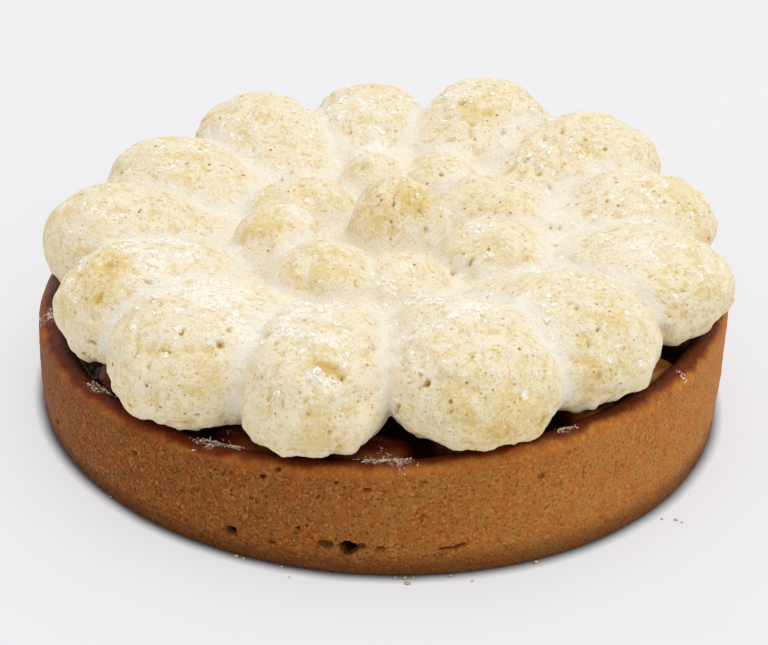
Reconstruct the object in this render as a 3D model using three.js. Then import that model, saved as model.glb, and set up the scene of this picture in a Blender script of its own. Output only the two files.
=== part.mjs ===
// A single round tart: a straight-sided shortcrust shell, a set filling of caramelised apple
// pieces, and one baked disc of piped almond biscuit whose domes run into each other.
// Millimetres, +Z up. The origin is the middle of the flat underside of the shell.
// Azimuths are in degrees, counted from +X towards +Y; the front of the tart faces -Y.

import * as THREE from 'three';

// ---------------------------------------------------------------- driving dimensions

// Shortcrust shell, baked in a 100 mm ring and a little out of round.
const RIM_RADIUS = 49.35;
const OUT_OF_ROUND = 0.65;
const OUT_OF_ROUND_AZIMUTH = 180;
const FOOT_TAPER = 0.4;
const FOOT_ROUNDING = 0.8;
const BELLY_LEVEL = 0.55;
const RIM_THICKNESS = 3.8;
const RIM_ROUNDING = 1.7;
const FLOOR_THICKNESS = 3.2;
const FLOOR_RADIUS = 42;
const FLOOR_FILLET = 2.4;
const BASE_FLAT_RADIUS = 46.6;

// Height of the shell, which is low on one side, as hand-trimmed dough is.
const RIM_HEIGHT = 16.45;
const RIM_LEAN = 2.9;
const RIM_LEAN_AZIMUTH = -11;
const RIM_WAVE = 0.45;
const RIM_WAVE_AZIMUTH = -36;

// Filling: apple in caramel. It carries the topping over its middle, and round its edge it
// sinks below the rim, with a ring of apple pieces standing up between the domes.
const FIT_GAP = 0.3;
const EDGE_SINK = 2.5;
const SINK_STARTS_AT = 31;
const SINK_ENDS_AT = 37;
const FILLING_EDGE_DROP = 0.4;
const CHUNK_RING_RADIUS = 42;
const CHUNK_COUNT = 18;
const CHUNK_START = -92;
const CHUNK_HEIGHT = 2;
const CHUNK_LENGTH = 10.5;
const CHUNK_WIDTH = 7.4;
const CHUNK_TURN = 80;

// Topping: its underside rests along the rim. Its blobs are superellipsoids that are flatter
// below their widest level, so that they draw in towards the rim.
const REST_GAP = 0.4;
const BELLY_ABOVE_REST = 5.6;
const LOWER_HALF_HEIGHT = 8.4;
const BLOB_POWER = 2.05;
const TAIL_SHIFT = 7.5;
const TAIL_REACH = 9.5;
const TAIL_WIDTH_SHARE = 0.78;
const PLATE_RADIUS = 37.5;
const PLATE_LEVEL = 1.8;
const PLATE_HALF_THICKNESS = 5;
const PLATE_ROUNDING = 4;
const TAIL_BLEND = 1.2;
const GROOVE_BLEND = 0.3;
const INNER_BLEND = 0.5;
const BODY_BLEND = 0.7;
const UNDERSIDE_BLEND = 0.5;
const LUMP_HEIGHT = 0.07;
const LUMP_LENGTH = 9;

// Outer ring of piped heads: where each one sits, half its width, how far it reaches outwards
// and inwards from there, how high its crown stands above the table, and how much lower its
// tail is.
const OUTER_HEADS = [
  { azimuth: -153.5, radius: 37.4, halfWidth: 10.9, reach: 11.9, crown: 29.4, tailDrop: 2.4 },
  { azimuth: -128.6, radius: 38.6, halfWidth: 12.4, reach: 12.9, crown: 30.2, tailDrop: 4.5 },
  { azimuth: -102.8, radius: 38.4, halfWidth: 10.4, reach: 13, crown: 31.8, tailDrop: 5 },
  { azimuth: -73, radius: 38.2, halfWidth: 12, reach: 13, crown: 32.8, tailDrop: 3.6 },
  { azimuth: -47.5, radius: 36.7, halfWidth: 11.6, reach: 12.2, crown: 32.3, tailDrop: 3.6 },
  { azimuth: -15.5, radius: 37.5, halfWidth: 11, reach: 11.7, crown: 31.5, tailDrop: 4.4 },
  { azimuth: 14, radius: 37.4, halfWidth: 10.4, reach: 10.8, crown: 30.5, tailDrop: 4.4 },
  { azimuth: 42.5, radius: 39.2, halfWidth: 11, reach: 12, crown: 31.5, tailDrop: 4 },
  { azimuth: 69.3, radius: 39.5, halfWidth: 10.9, reach: 11.8, crown: 32, tailDrop: 4 },
  { azimuth: 95.5, radius: 39.1, halfWidth: 9.7, reach: 11.4, crown: 29.2, tailDrop: 4 },
  { azimuth: 121, radius: 39.1, halfWidth: 10.4, reach: 11.2, crown: 29.2, tailDrop: 3.4 },
  { azimuth: 148, radius: 38, halfWidth: 10.5, reach: 10.4, crown: 28, tailDrop: 3 },
  { azimuth: 177, radius: 38.6, halfWidth: 10.9, reach: 11, crown: 28.5, tailDrop: 3 },
];

// Inner ring of round heads, and the one in the middle: its place, half its width along X and
// along Y, and its crown's height above the table.
const INNER_HEADS = [
  { x: -8.7, y: -14.2, halfX: 8.1, halfY: 7.8, crown: 30.2 },
  { x: -15.7, y: -5.4, halfX: 7.6, halfY: 7.8, crown: 31 },
  { x: -12.6, y: 9.4, halfX: 8.6, halfY: 6.8, crown: 27.9 },
  { x: -2.4, y: 19, halfX: 5.5, halfY: 6, crown: 28 },
  { x: 7.3, y: 18.5, halfX: 6.4, halfY: 6.2, crown: 28.6 },
  { x: 14.6, y: 8.6, halfX: 8.4, halfY: 7, crown: 30 },
  { x: 15, y: -5.4, halfX: 8.6, halfY: 7.4, crown: 30.2 },
  { x: 1.9, y: -13.8, halfX: 7, halfY: 7, crown: 28.6 },
  { x: 0.8, y: 2, halfX: 7.4, halfY: 7.6, crown: 32.8 },
];

// Fineness of the faceted surfaces.
const SHELL_SIDES = 96;
const COLUMNS_PER_HEAD = 12;
const TOPPING_DISC_RINGS = 24;
const CORE_RADIUS = 35;
const CORE_LEVEL = 5;
const WALL_LEVELS = [0.3, 1.4, 3.1];
const SHOULDER_SLOPES = [0, 16, 32, 48, 62, 76];
const CAST_DISTANCE = 22;
const CAST_STEPS = 22;

// ---------------------------------------------------------------- helpers

const radians = THREE.MathUtils.degToRad;

function polar(radius, angle, z) {
  return new THREE.Vector3(radius * Math.cos(angle), radius * Math.sin(angle), z);
}

// One turn of points; place(angle) gives the point at an angle.
function turn(count, place) {
  const points = [];
  for (let i = 0; i < count; i += 1) {
    points.push(place((2 * Math.PI * i) / count));
  }
  return points;
}

// A closed body from rings of points that run from the middle of its underside outwards,
// up its side and back to the middle of its top. The first and last rings are single points.
// Neighbouring rings may have different counts.
function closedBody(rings) {
  const positions = [];
  const starts = [];
  for (const ring of rings) {
    starts.push(positions.length / 3);
    for (const point of ring) {
      positions.push(point.x, point.y, point.z);
    }
  }
  const faces = [];
  for (let k = 0; k + 1 < rings.length; k += 1) {
    stitch(faces, starts[k], rings[k].length, starts[k + 1], rings[k + 1].length);
  }
  const geometry = new THREE.BufferGeometry();
  geometry.setAttribute('position', new THREE.Float32BufferAttribute(positions, 3));
  geometry.setIndex(faces);
  geometry.computeVertexNormals();
  return geometry;
}

// Triangles between two rings, stepping along whichever ring lags behind.
function stitch(faces, startA, countA, startB, countB) {
  const stepsA = countA === 1 ? 0 : countA;
  const stepsB = countB === 1 ? 0 : countB;
  let a = 0;
  let b = 0;
  while (a < stepsA || b < stepsB) {
    const here = startA + (a % countA);
    const there = startB + (b % countB);
    const moveA = b >= stepsB || (a < stepsA && (a + 1) * stepsB <= (b + 1) * stepsA);
    if (moveA) {
      faces.push(here, startA + ((a + 1) % countA), there);
      a += 1;
    } else {
      faces.push(here, startB + ((b + 1) % countB), there);
      b += 1;
    }
  }
}

function mix(from, to, share) {
  return from + (to - from) * share;
}

function smoothStep(low, high, value) {
  const t = THREE.MathUtils.clamp((value - low) / (high - low), 0, 1);
  return t * t * (3 - 2 * t);
}

// A union of distances whose joints are filleted over a width.
function blendedUnion(distances, width) {
  const nearest = Math.min(...distances);
  let sum = 0;
  for (const distance of distances) {
    sum += Math.exp((nearest - distance) / width);
  }
  return nearest - width * Math.log(sum);
}

// ---------------------------------------------------------------- shortcrust shell

// Height of the rim's ridge at an azimuth, and of the surface that hangs inside it:
// the lean fades in with the distance from the middle, the wave with its square.
function rimLevel(x, y) {
  const share = Math.hypot(x, y) / RIM_RADIUS;
  const angle = Math.atan2(y, x);
  const lean = RIM_LEAN * share * Math.cos(angle - radians(RIM_LEAN_AZIMUTH));
  const wave = RIM_WAVE * share ** 2 * Math.cos(2 * (angle - radians(RIM_WAVE_AZIMUTH)));
  return RIM_HEIGHT + lean + wave;
}

function rimHeight(angle) {
  return rimLevel(RIM_RADIUS * Math.cos(angle), RIM_RADIUS * Math.sin(angle));
}

function rimRadius(angle) {
  return RIM_RADIUS + OUT_OF_ROUND * Math.cos(angle - radians(OUT_OF_ROUND_AZIMUTH));
}

// Outer wall: from the foot it swells quickly to the rim's radius.
function outerRadius(angle, share) {
  return rimRadius(angle) - FOOT_TAPER * (1 - smoothStep(0, BELLY_LEVEL, share));
}

// Inner wall: a straight taper from the rim down to the floor's fillet.
function innerRadius(angle, z) {
  const top = rimHeight(angle) - RIM_ROUNDING;
  const bottom = FLOOR_THICKNESS + FLOOR_FILLET;
  const share = THREE.MathUtils.clamp((z - bottom) / (top - bottom), 0, 1);
  return mix(FLOOR_RADIUS + FLOOR_FILLET, rimRadius(angle) - RIM_THICKNESS, share);
}

function crustGeometry() {
  const rings = [[new THREE.Vector3(0, 0, 0)]];
  rings.push(turn(SHELL_SIDES / 4, (angle) => polar(BASE_FLAT_RADIUS / 2, angle, 0)));
  rings.push(turn(SHELL_SIDES, (angle) => polar(BASE_FLAT_RADIUS, angle, 0)));
  for (const bend of [30, 60, 90]) {
    const inset = FOOT_ROUNDING * (1 - Math.sin(radians(bend)));
    const z = FOOT_ROUNDING * (1 - Math.cos(radians(bend)));
    rings.push(turn(SHELL_SIDES, (angle) => polar(outerRadius(angle, 0) - inset, angle, z)));
  }
  for (const share of [0.25, 0.5, 0.75, 1]) {
    rings.push(turn(SHELL_SIDES, (angle) => {
      const z = mix(FOOT_ROUNDING, rimHeight(angle) - RIM_ROUNDING, share);
      return polar(outerRadius(angle, share), angle, z);
    }));
  }
  for (const bend of [30, 60, 90, 120, 150, 180]) {
    rings.push(turn(SHELL_SIDES, (angle) => {
      const middle = rimRadius(angle) - RIM_THICKNESS / 2;
      const radius = middle + (RIM_THICKNESS / 2) * Math.cos(radians(bend));
      const z = rimHeight(angle) - RIM_ROUNDING * (1 - Math.sin(radians(bend)));
      return polar(radius, angle, z);
    }));
  }
  for (const bend of [0, 45, 90]) {
    const z = FLOOR_THICKNESS + FLOOR_FILLET * (1 - Math.sin(radians(bend)));
    const radius = FLOOR_RADIUS + FLOOR_FILLET * Math.cos(radians(bend));
    rings.push(turn(SHELL_SIDES, (angle) => polar(radius, angle, z)));
  }
  rings.push(turn(SHELL_SIDES / 4, (angle) => polar(FLOOR_RADIUS / 2, angle, FLOOR_THICKNESS)));
  rings.push([new THREE.Vector3(0, 0, FLOOR_THICKNESS)]);
  return closedBody(rings);
}

// ---------------------------------------------------------------- apple filling

// The n-th value of a sequence that fills 0 to 1 evenly without repeating.
function evenSpread(n, step) {
  return (n * step) % 1;
}

// Apple pieces lie in a ring, each turned and sized a little differently.
function appleChunks() {
  const chunks = [];
  for (let i = 0; i < CHUNK_COUNT; i += 1) {
    const shift = 0.3 * (evenSpread(i + 1, 0.618) - 0.5);
    const angle = radians(CHUNK_START + (360 * (i + shift)) / CHUNK_COUNT);
    chunks.push({
      x: CHUNK_RING_RADIUS * Math.cos(angle),
      y: CHUNK_RING_RADIUS * Math.sin(angle),
      turn: angle + radians(90 + CHUNK_TURN * (evenSpread(i + 1, 0.5698) - 0.5)),
      size: mix(0.85, 1.15, evenSpread(i + 1, 0.7549)),
    });
  }
  return chunks;
}

const APPLE_CHUNKS = appleChunks();

// Height of the filling's top: the bed, with the apple pieces standing out of it as domes.
function fillingLevel(x, y) {
  let dome = 0;
  for (const chunk of APPLE_CHUNKS) {
    const along = (x - chunk.x) * Math.cos(chunk.turn) + (y - chunk.y) * Math.sin(chunk.turn);
    const across = (y - chunk.y) * Math.cos(chunk.turn) - (x - chunk.x) * Math.sin(chunk.turn);
    const u = (2 * along) / (CHUNK_LENGTH * chunk.size);
    const v = (2 * across) / (CHUNK_WIDTH * chunk.size);
    dome = Math.max(dome, Math.sqrt(Math.max(0, 1 - u * u - v * v)));
  }
  const full = rimLevel(x, y) + REST_GAP - FIT_GAP;
  const sink = EDGE_SINK * smoothStep(SINK_STARTS_AT, SINK_ENDS_AT, Math.hypot(x, y));
  return Math.min(full, full - sink + CHUNK_HEIGHT * dome);
}

function fillingGeometry() {
  const bottom = FLOOR_THICKNESS + FIT_GAP;
  const rings = [[new THREE.Vector3(0, 0, bottom)]];
  rings.push(turn(SHELL_SIDES / 4, (angle) => polar(FLOOR_RADIUS / 2, angle, bottom)));
  rings.push(turn(SHELL_SIDES, (angle) => polar(FLOOR_RADIUS - FIT_GAP, angle, bottom)));
  const elbow = bottom + FLOOR_FILLET;
  rings.push(turn(SHELL_SIDES, (angle) => polar(innerRadius(angle, elbow) - FIT_GAP, angle, elbow)));
  const edgeLevel = (angle) => rimHeight(angle) - EDGE_SINK - FILLING_EDGE_DROP;
  const wall = (angle) => innerRadius(angle, edgeLevel(angle)) - FIT_GAP;
  rings.push(turn(SHELL_SIDES, (angle) => polar(wall(angle), angle, edgeLevel(angle))));
  const onTop = (radius, angle) => {
    const point = polar(radius, angle, 0);
    point.z = fillingLevel(point.x, point.y);
    return point;
  };
  for (const inset of [0.5, 1.7, 3, 4.5, 6.2, 8, 10]) {
    rings.push(turn(SHELL_SIDES, (angle) => onTop(wall(angle) - inset, angle)));
  }
  rings.push(turn(SHELL_SIDES / 2, (angle) => onTop(SINK_STARTS_AT, angle)));
  rings.push(turn(SHELL_SIDES / 8, (angle) => onTop(SINK_STARTS_AT / 2, angle)));
  rings.push([new THREE.Vector3(0, 0, fillingLevel(0, 0))]);
  return closedBody(rings);
}

// ---------------------------------------------------------------- piped topping

function restLevel(x, y) {
  return rimLevel(x, y) + REST_GAP;
}

// A superellipsoid of half axes along a direction, across it and upwards.
function blob(x, y, angle, reach, halfWidth, crown) {
  const z = restLevel(x, y) + BELLY_ABOVE_REST;
  return { x, y, z, angle, reach, halfWidth, halfHeight: crown - z };
}

function blobDistance(shape, x, y, z) {
  const dx = x - shape.x;
  const dy = y - shape.y;
  const along = Math.abs(dx * Math.cos(shape.angle) + dy * Math.sin(shape.angle)) / shape.reach;
  const across = Math.abs(dy * Math.cos(shape.angle) - dx * Math.sin(shape.angle)) / shape.halfWidth;
  const up = Math.abs(z - shape.z) / (z < shape.z ? LOWER_HALF_HEIGHT : shape.halfHeight);
  const sum = along ** BLOB_POWER + across ** BLOB_POWER + up ** BLOB_POWER;
  const smallest = Math.min(shape.reach, shape.halfWidth, shape.halfHeight);
  return (sum ** (1 / BLOB_POWER) - 1) * smallest;
}

// Each outer head has a lower tail where the piping bag was pulled in towards the middle.
const OUTER_BLOBS = OUTER_HEADS.map((head) => {
  const { halfWidth, reach, crown } = head;
  const angle = radians(head.azimuth);
  const place = polar(head.radius, angle, 0);
  const back = polar(head.radius - TAIL_SHIFT, angle, 0);
  const tailWidth = halfWidth * TAIL_WIDTH_SHARE;
  return {
    head: blob(place.x, place.y, angle, reach, halfWidth, crown),
    tail: blob(back.x, back.y, angle, TAIL_REACH, tailWidth, crown - head.tailDrop),
  };
});

const INNER_BLOBS = INNER_HEADS.map(({ x, y, halfX, halfY, crown }) => (
  blob(x, y, 0, halfX, halfY, crown)
));

// The disc that the heads run together into.
function plateDistance(x, y, z) {
  const beyond = Math.max(Math.hypot(x, y) - (PLATE_RADIUS - PLATE_ROUNDING), 0);
  const above = Math.abs(z - restLevel(x, y) - PLATE_LEVEL) - (PLATE_HALF_THICKNESS - PLATE_ROUNDING);
  return Math.hypot(beyond, Math.max(above, 0)) - PLATE_ROUNDING;
}

// Soft lumps of piped batter: five waves along turned directions, each a little longer.
function lumps(x, y, z) {
  let sum = 0;
  for (let n = 1; n <= 5; n += 1) {
    const along = x * Math.cos(2.4 * n) + y * Math.sin(2.4 * n) + z * Math.cos(1.7 * n);
    sum += Math.sin((2 * Math.PI * along) / (LUMP_LENGTH + n) + n);
  }
  return LUMP_HEIGHT * sum;
}

// Distance to the topping's skin, negative inside.
function toppingDistance(x, y, z) {
  const outer = OUTER_BLOBS.map(({ head, tail }) => (
    blendedUnion([blobDistance(head, x, y, z), blobDistance(tail, x, y, z)], TAIL_BLEND)
  ));
  const inner = INNER_BLOBS.map((shape) => blobDistance(shape, x, y, z));
  const solid = blendedUnion([
    blendedUnion(outer, GROOVE_BLEND),
    blendedUnion(inner, INNER_BLEND),
    plateDistance(x, y, z),
  ], BODY_BLEND) + lumps(x, y, z);
  const below = restLevel(x, y) - z;
  return -blendedUnion([-solid, -below], UNDERSIDE_BLEND);
}

// The first point of the skin along a ray from inside the disc, found by halving.
function castToSkin(origin, direction) {
  let inside = 0;
  let outside = CAST_DISTANCE;
  const point = new THREE.Vector3();
  for (let i = 0; i < CAST_STEPS; i += 1) {
    const middle = (inside + outside) / 2;
    point.copy(origin).addScaledVector(direction, middle);
    if (toppingDistance(point.x, point.y, point.z) < 0) {
      inside = middle;
    } else {
      outside = middle;
    }
  }
  return origin.clone().addScaledVector(direction, inside);
}

// Azimuths of the grooves between neighbouring outer heads, in order from the first head.
function grooveAngles() {
  return OUTER_HEADS.map((head, i) => {
    const next = OUTER_HEADS[(i + 1) % OUTER_HEADS.length];
    const step = (next.azimuth - head.azimuth + 360) % 360;
    const share = head.halfWidth / (head.halfWidth + next.halfWidth);
    return radians(head.azimuth + step * share);
  });
}

const GROOVES = grooveAngles();

// Near the edge the columns of points gather so that a whole number lies between two grooves.
function columnAngle(turnShare, radius) {
  const place = turnShare * GROOVES.length;
  const index = Math.floor(place) % GROOVES.length;
  const start = GROOVES[index];
  const end = GROOVES[(index + 1) % GROOVES.length];
  const gap = (end - start + 2 * Math.PI) % (2 * Math.PI);
  const gathered = start + gap * (place - Math.floor(place));
  const even = GROOVES[0] + 2 * Math.PI * turnShare;
  const difference = Math.atan2(Math.sin(gathered - even), Math.cos(gathered - even));
  return even + difference * smoothStep(CORE_RADIUS * 0.5, CORE_RADIUS * 0.9, radius);
}

// A ring of the topping's skin: rays leave a circle inside it, at a height above its
// underside and at a slope from level.
function skinRing(count, radius, level, slope) {
  const ring = [];
  for (let i = 0; i < count; i += 1) {
    const angle = columnAngle(i / count, radius);
    const origin = polar(radius, angle, 0);
    origin.z = restLevel(origin.x, origin.y) + level;
    const direction = polar(Math.cos(slope), angle, Math.sin(slope));
    ring.push(castToSkin(origin, direction));
  }
  return ring;
}

function toppingGeometry() {
  const down = radians(-90);
  const up = radians(90);
  const edgeCount = COLUMNS_PER_HEAD * OUTER_HEADS.length;
  const rings = [skinRing(1, 0, CORE_LEVEL, down)];
  for (const [count, share] of [[edgeCount / 12, 0.35], [edgeCount / 4, 0.7], [edgeCount, 1]]) {
    rings.push(skinRing(count, CORE_RADIUS * share, CORE_LEVEL, down));
  }
  for (const level of WALL_LEVELS) {
    rings.push(skinRing(edgeCount, CORE_RADIUS, level, 0));
  }
  for (const slope of SHOULDER_SLOPES) {
    rings.push(skinRing(edgeCount, CORE_RADIUS, CORE_LEVEL, radians(slope)));
  }
  for (let k = TOPPING_DISC_RINGS; k > 0; k -= 1) {
    rings.push(skinRing(6 * k, (CORE_RADIUS * k) / TOPPING_DISC_RINGS, CORE_LEVEL, up));
  }
  rings.push(skinRing(1, 0, CORE_LEVEL, up));
  return closedBody(rings);
}

// ---------------------------------------------------------------- the tart

function piece(name, geometry, colour, roughness) {
  const material = new THREE.MeshStandardMaterial({ color: colour, roughness, metalness: 0 });
  const mesh = new THREE.Mesh(geometry, material);
  mesh.name = name;
  return mesh;
}

const tart = new THREE.Group();
tart.add(piece('crust', crustGeometry(), '#a2622f', 0.75));
tart.add(piece('apple_filling', fillingGeometry(), '#4a2410', 0.25));
tart.add(piece('piped_topping', toppingGeometry(), '#ead9ac', 0.9));

export default tart;
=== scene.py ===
"""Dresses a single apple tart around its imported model.

The shell, the filling and the piped biscuit topping are rebuilt as fine surfaces with the same
driving sizes as the model's own solids. Icing sugar, sugar grains and crumbs are added on them.
Shapes are worked out in millimetres and put into Blender in metres. The front faces -Y, and
azimuths are in degrees from +X towards +Y.
"""

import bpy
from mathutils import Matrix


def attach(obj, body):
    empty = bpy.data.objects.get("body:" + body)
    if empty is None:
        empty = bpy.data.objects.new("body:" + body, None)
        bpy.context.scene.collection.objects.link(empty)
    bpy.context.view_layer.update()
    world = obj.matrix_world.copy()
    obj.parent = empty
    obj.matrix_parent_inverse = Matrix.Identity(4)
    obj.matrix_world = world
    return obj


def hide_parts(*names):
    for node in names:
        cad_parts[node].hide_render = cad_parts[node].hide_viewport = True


bl_info = {
    "name": "Apple Tart Dressing",
    "version": (1, 0, 0),
    "blender": (4, 5, 0),
    "location": "View3D > Sidebar > Tart",
    "description": "Builds the baked surfaces, sugar and stage of a single apple tart",
    "category": "Add Mesh",
}

import math

import bpy
import numpy as np
from mathutils import Quaternion, Vector

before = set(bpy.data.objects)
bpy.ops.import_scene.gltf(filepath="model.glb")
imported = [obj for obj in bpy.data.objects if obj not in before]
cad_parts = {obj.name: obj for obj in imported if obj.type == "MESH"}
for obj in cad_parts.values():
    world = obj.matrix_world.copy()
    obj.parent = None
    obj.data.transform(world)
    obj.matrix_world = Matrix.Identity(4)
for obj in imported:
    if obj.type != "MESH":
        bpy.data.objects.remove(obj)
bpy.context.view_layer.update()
MM = 0.001

# ---------------------------------------------------------------- driving sizes, millimetres

# Shortcrust shell.
RIM_RADIUS = 49.35
OUT_OF_ROUND = 0.65
OUT_OF_ROUND_AZIMUTH = 180.0
FOOT_TAPER = 0.4
FOOT_ROUNDING = 0.8
BELLY_LEVEL = 0.55
RIM_THICKNESS = 3.8
RIM_ROUNDING = 1.7
FLOOR_THICKNESS = 3.2
FLOOR_RADIUS = 42.0
FLOOR_FILLET = 2.4
RIM_HEIGHT = 16.45
RIM_LEAN = 2.9
RIM_LEAN_AZIMUTH = -11.0
RIM_WAVE = 0.45
RIM_WAVE_AZIMUTH = -36.0

# Apple filling.
FIT_GAP = 0.3
EDGE_SINK = 2.5
SINK_STARTS_AT = 31.0
SINK_ENDS_AT = 37.0
CHUNK_RING_RADIUS = 42.0
CHUNK_COUNT = 18
CHUNK_START = -92.0
CHUNK_HEIGHT = 2.0
CHUNK_LENGTH = 10.5
CHUNK_WIDTH = 7.4
CHUNK_TURN = 80.0
OPEN_EDGE = 13.0
MENISCUS_HEIGHT = 0.5
MENISCUS_WIDTH = 0.9
FRUIT_UNDER_TOPPING = 0.05

# Piped topping.
REST_GAP = 0.4
BELLY_ABOVE_REST = 5.6
LOWER_HALF_HEIGHT = 8.4
BLOB_POWER = 2.05
TAIL_SHIFT = 7.5
TAIL_REACH = 9.5
TAIL_WIDTH_SHARE = 0.78
PLATE_RADIUS = 37.5
PLATE_LEVEL = 1.8
PLATE_HALF_THICKNESS = 5.0
PLATE_ROUNDING = 4.0
TAIL_BLEND = 1.2
GROOVE_BLEND = 0.3
INNER_BLEND = 0.5
BODY_BLEND = 0.7
UNDERSIDE_BLEND = 0.5
LUMP_HEIGHT = 0.07
LUMP_LENGTH = 9.0
CORE_RADIUS = 35.0
CORE_LEVEL = 5.0
CAST_DISTANCE = 22.0
CAST_HALVINGS = 15
LUMP_WAVES = 5
LUMP_TURN = 2.4
LUMP_TILT = 1.7

# Outer heads: azimuth, distance from the middle, half width, reach along the radius, crown,
# and how much lower the tail is.
OUTER_HEADS = (
    (-153.5, 37.4, 10.9, 11.9, 29.4, 2.4), (-128.6, 38.6, 12.4, 12.9, 30.2, 4.5),
    (-102.8, 38.4, 10.4, 13.0, 31.8, 5.0), (-73.0, 38.2, 12.0, 13.0, 32.8, 3.6),
    (-47.5, 36.7, 11.6, 12.2, 32.3, 3.6), (-15.5, 37.5, 11.0, 11.7, 31.5, 4.4),
    (14.0, 37.4, 10.4, 10.8, 30.5, 4.4), (42.5, 39.2, 11.0, 12.0, 31.5, 4.0),
    (69.3, 39.5, 10.9, 11.8, 32.0, 4.0), (95.5, 39.1, 9.7, 11.4, 29.2, 4.0),
    (121.0, 39.1, 10.4, 11.2, 29.2, 3.4), (148.0, 38.0, 10.5, 10.4, 28.0, 3.0),
    (177.0, 38.6, 10.9, 11.0, 28.5, 3.0),
)

# Inner heads and the middle one: x, y, half width along X, half width along Y, crown.
INNER_HEADS = (
    (-8.7, -14.2, 8.1, 7.8, 30.2), (-15.7, -5.4, 7.6, 7.8, 31.0), (-12.6, 9.4, 8.6, 6.8, 27.9),
    (-2.4, 19.0, 5.5, 6.0, 28.0), (7.3, 18.5, 6.4, 6.2, 28.6), (14.6, 8.6, 8.4, 7.0, 30.0),
    (15.0, -5.4, 8.6, 7.4, 30.2), (1.9, -13.8, 7.0, 7.0, 28.6), (0.8, 2.0, 7.4, 7.6, 32.8),
)

# Fineness of the surfaces, as counts of steps.
TOPPING_STEPS = 304
CRUST_COLUMNS = 840
WALL_ROWS = 44
FILLING_COLUMNS = 640

# Relief of the baked surfaces: height of the move and length of the noise in millimetres, then
# the noise's seed and layers.
SHELL_SWELL = (0.2, 11.0, 5, 2)
SHELL_CRUMB = (0.12, 1.5, 11, 3)
TRIMMED_RIM = (0.22, 2.6, 19, 2)
SYRUP_EDGE = (0.8, 2.6, 29, 3)
HOLE_EDGE = (0.45, 1.1, 41, 2)
FRUIT_LUMPS = (0.35, 3.2, 61, 3)
BATTER_SWELL = (0.45, 6.5, 71, 2)
BISCUIT_CRUMB = (0.34, 1.9, 77, 3)
SKIRT_RAGS = (0.85, 2.3, 83, 3)
SUGAR_PATCHES = (0.5, 2.2, 101, 2)

# Plates of crackled skin: height, length, seed, and how steep their edges are.
SKIN_PLATES = (0.17, 2.8, 79, 4.0)

# Pores: spacing, smallest and largest radius, share of the cells that hold one, seed.
SHELL_PORES = (1.9, 0.25, 0.75, 0.3, 23)
BISCUIT_PORES = (1.5, 0.25, 0.55, 0.3, 91)
SHELL_PORE_DEPTH = 0.3
BISCUIT_PORE_DEPTH = 0.4

# Icing sugar: cover away from the spots and what a spot adds, the noise's range that is taken from
# bare to covered, how far a surface faces up for none and for all, and the least share of that.
THIN_FALL = 0.1
THICK_FALL = 0.85
PATCH_RANGE = (0.25, 0.75)
FACING_UP = (0.35, 0.75)
LEAST_FACING = 0.05


# ---------------------------------------------------------------- numbers and noise


def mix(low, high, share):
    """Straight blend: low at share 0, high at share 1."""
    return low + (high - low) * share


def smooth_step(low, high, value):
    """Cubic ease: 0 below low, 1 above high, 3t^2 - 2t^3 between them."""
    t = np.clip((value - low) / (high - low), 0.0, 1.0)
    return t * t * (3.0 - 2.0 * t)


def polar(radius, angle, z):
    """Points from distances from the axis, angles and heights, as an array of x, y, z."""
    return np.stack(np.broadcast_arrays(radius * np.cos(angle), radius * np.sin(angle), z), -1)


def hashed(cells, seed):
    """Evenly spread numbers from 0 to 1, one for each whole-number cell, by integer hashing."""
    x, y, z = cells[..., 0], cells[..., 1], cells[..., 2]
    mixed = (x * 374761393 + y * 668265263 + z * 1442695041 + seed * 974634777) & 0xFFFFFFFF
    mixed = ((mixed ^ (mixed >> 13)) * 1274126177) & 0xFFFFFFFF
    return (mixed ^ (mixed >> 16)) / 4294967296.0


def smooth_noise(points, length, seed):
    """Value noise from -1 to 1: hashed corners of cubes of the length, eased between corners."""
    place = points / length
    cell = np.floor(place).astype(np.int64)
    t = place - cell
    t = t * t * (3.0 - 2.0 * t)
    total = np.zeros(points.shape[:-1])
    for corner in np.ndindex(2, 2, 2):
        corner = np.array(corner)
        weight = np.prod(np.where(corner == 1, t, 1.0 - t), -1)
        total += weight * hashed(cell + corner, seed)
    return 2.0 * total - 1.0


def layered_noise(points, length, seed, layers):
    """Sum of smooth noises, each of half the length and half the height of the last."""
    total = np.zeros(points.shape[:-1])
    for layer in range(layers):
        total += smooth_noise(points, length / 2**layer, seed + layer) / 2**layer
    return total / (2.0 - 0.5 ** (layers - 1))


def pits(points, spacing, smallest, largest, share, seed):
    """Depth of round pits from 0 to 1, where a cube of the spacing holds one pit or none.

    A pit's floor is a paraboloid, 1 - (distance / radius)^2. The share is its chance in a
    cube, and large ones are rare.
    """
    cell = np.floor(points / spacing).astype(np.int64)
    depth = np.zeros(points.shape[:-1])
    for step in np.ndindex(3, 3, 3):
        there = cell + np.array(step) - 1
        shift = np.stack([hashed(there, seed + axis) for axis in range(3)], -1)
        centre = (there + shift) * spacing
        radius = mix(smallest, largest, hashed(there, seed + 3) ** 3)
        near = 1.0 - np.sum((points - centre) ** 2, -1) / radius**2
        present = hashed(there, seed + 4) < share
        depth = np.maximum(depth, np.where(present, near, 0.0) * radius / largest)
    return depth


def relief(points, height, length, seed, layers):
    """Layered noise of a length, times a height."""
    return height * layered_noise(points, length, seed, layers)


def crackle(points, height, length, seed, steepness):
    """Plates and steps: a height times the hyperbolic tangent of steepened layered noise."""
    return height * np.tanh(steepness * layered_noise(points, length, seed, 2))


def near_spots(points, spots):
    """Largest of the spots' weights at each point: weight exp(-(distance / radius)^2).

    A spot is an azimuth, a distance from the axis, a height, a radius and a weight.
    """
    share = np.zeros(len(points))
    for azimuth, distance, height, radius, weight in spots:
        centre = polar(distance, math.radians(azimuth), height)
        gap = np.linalg.norm(points - centre, axis=-1)
        share = np.maximum(share, weight * np.exp(-((gap / radius) ** 2)))
    return share


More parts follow.
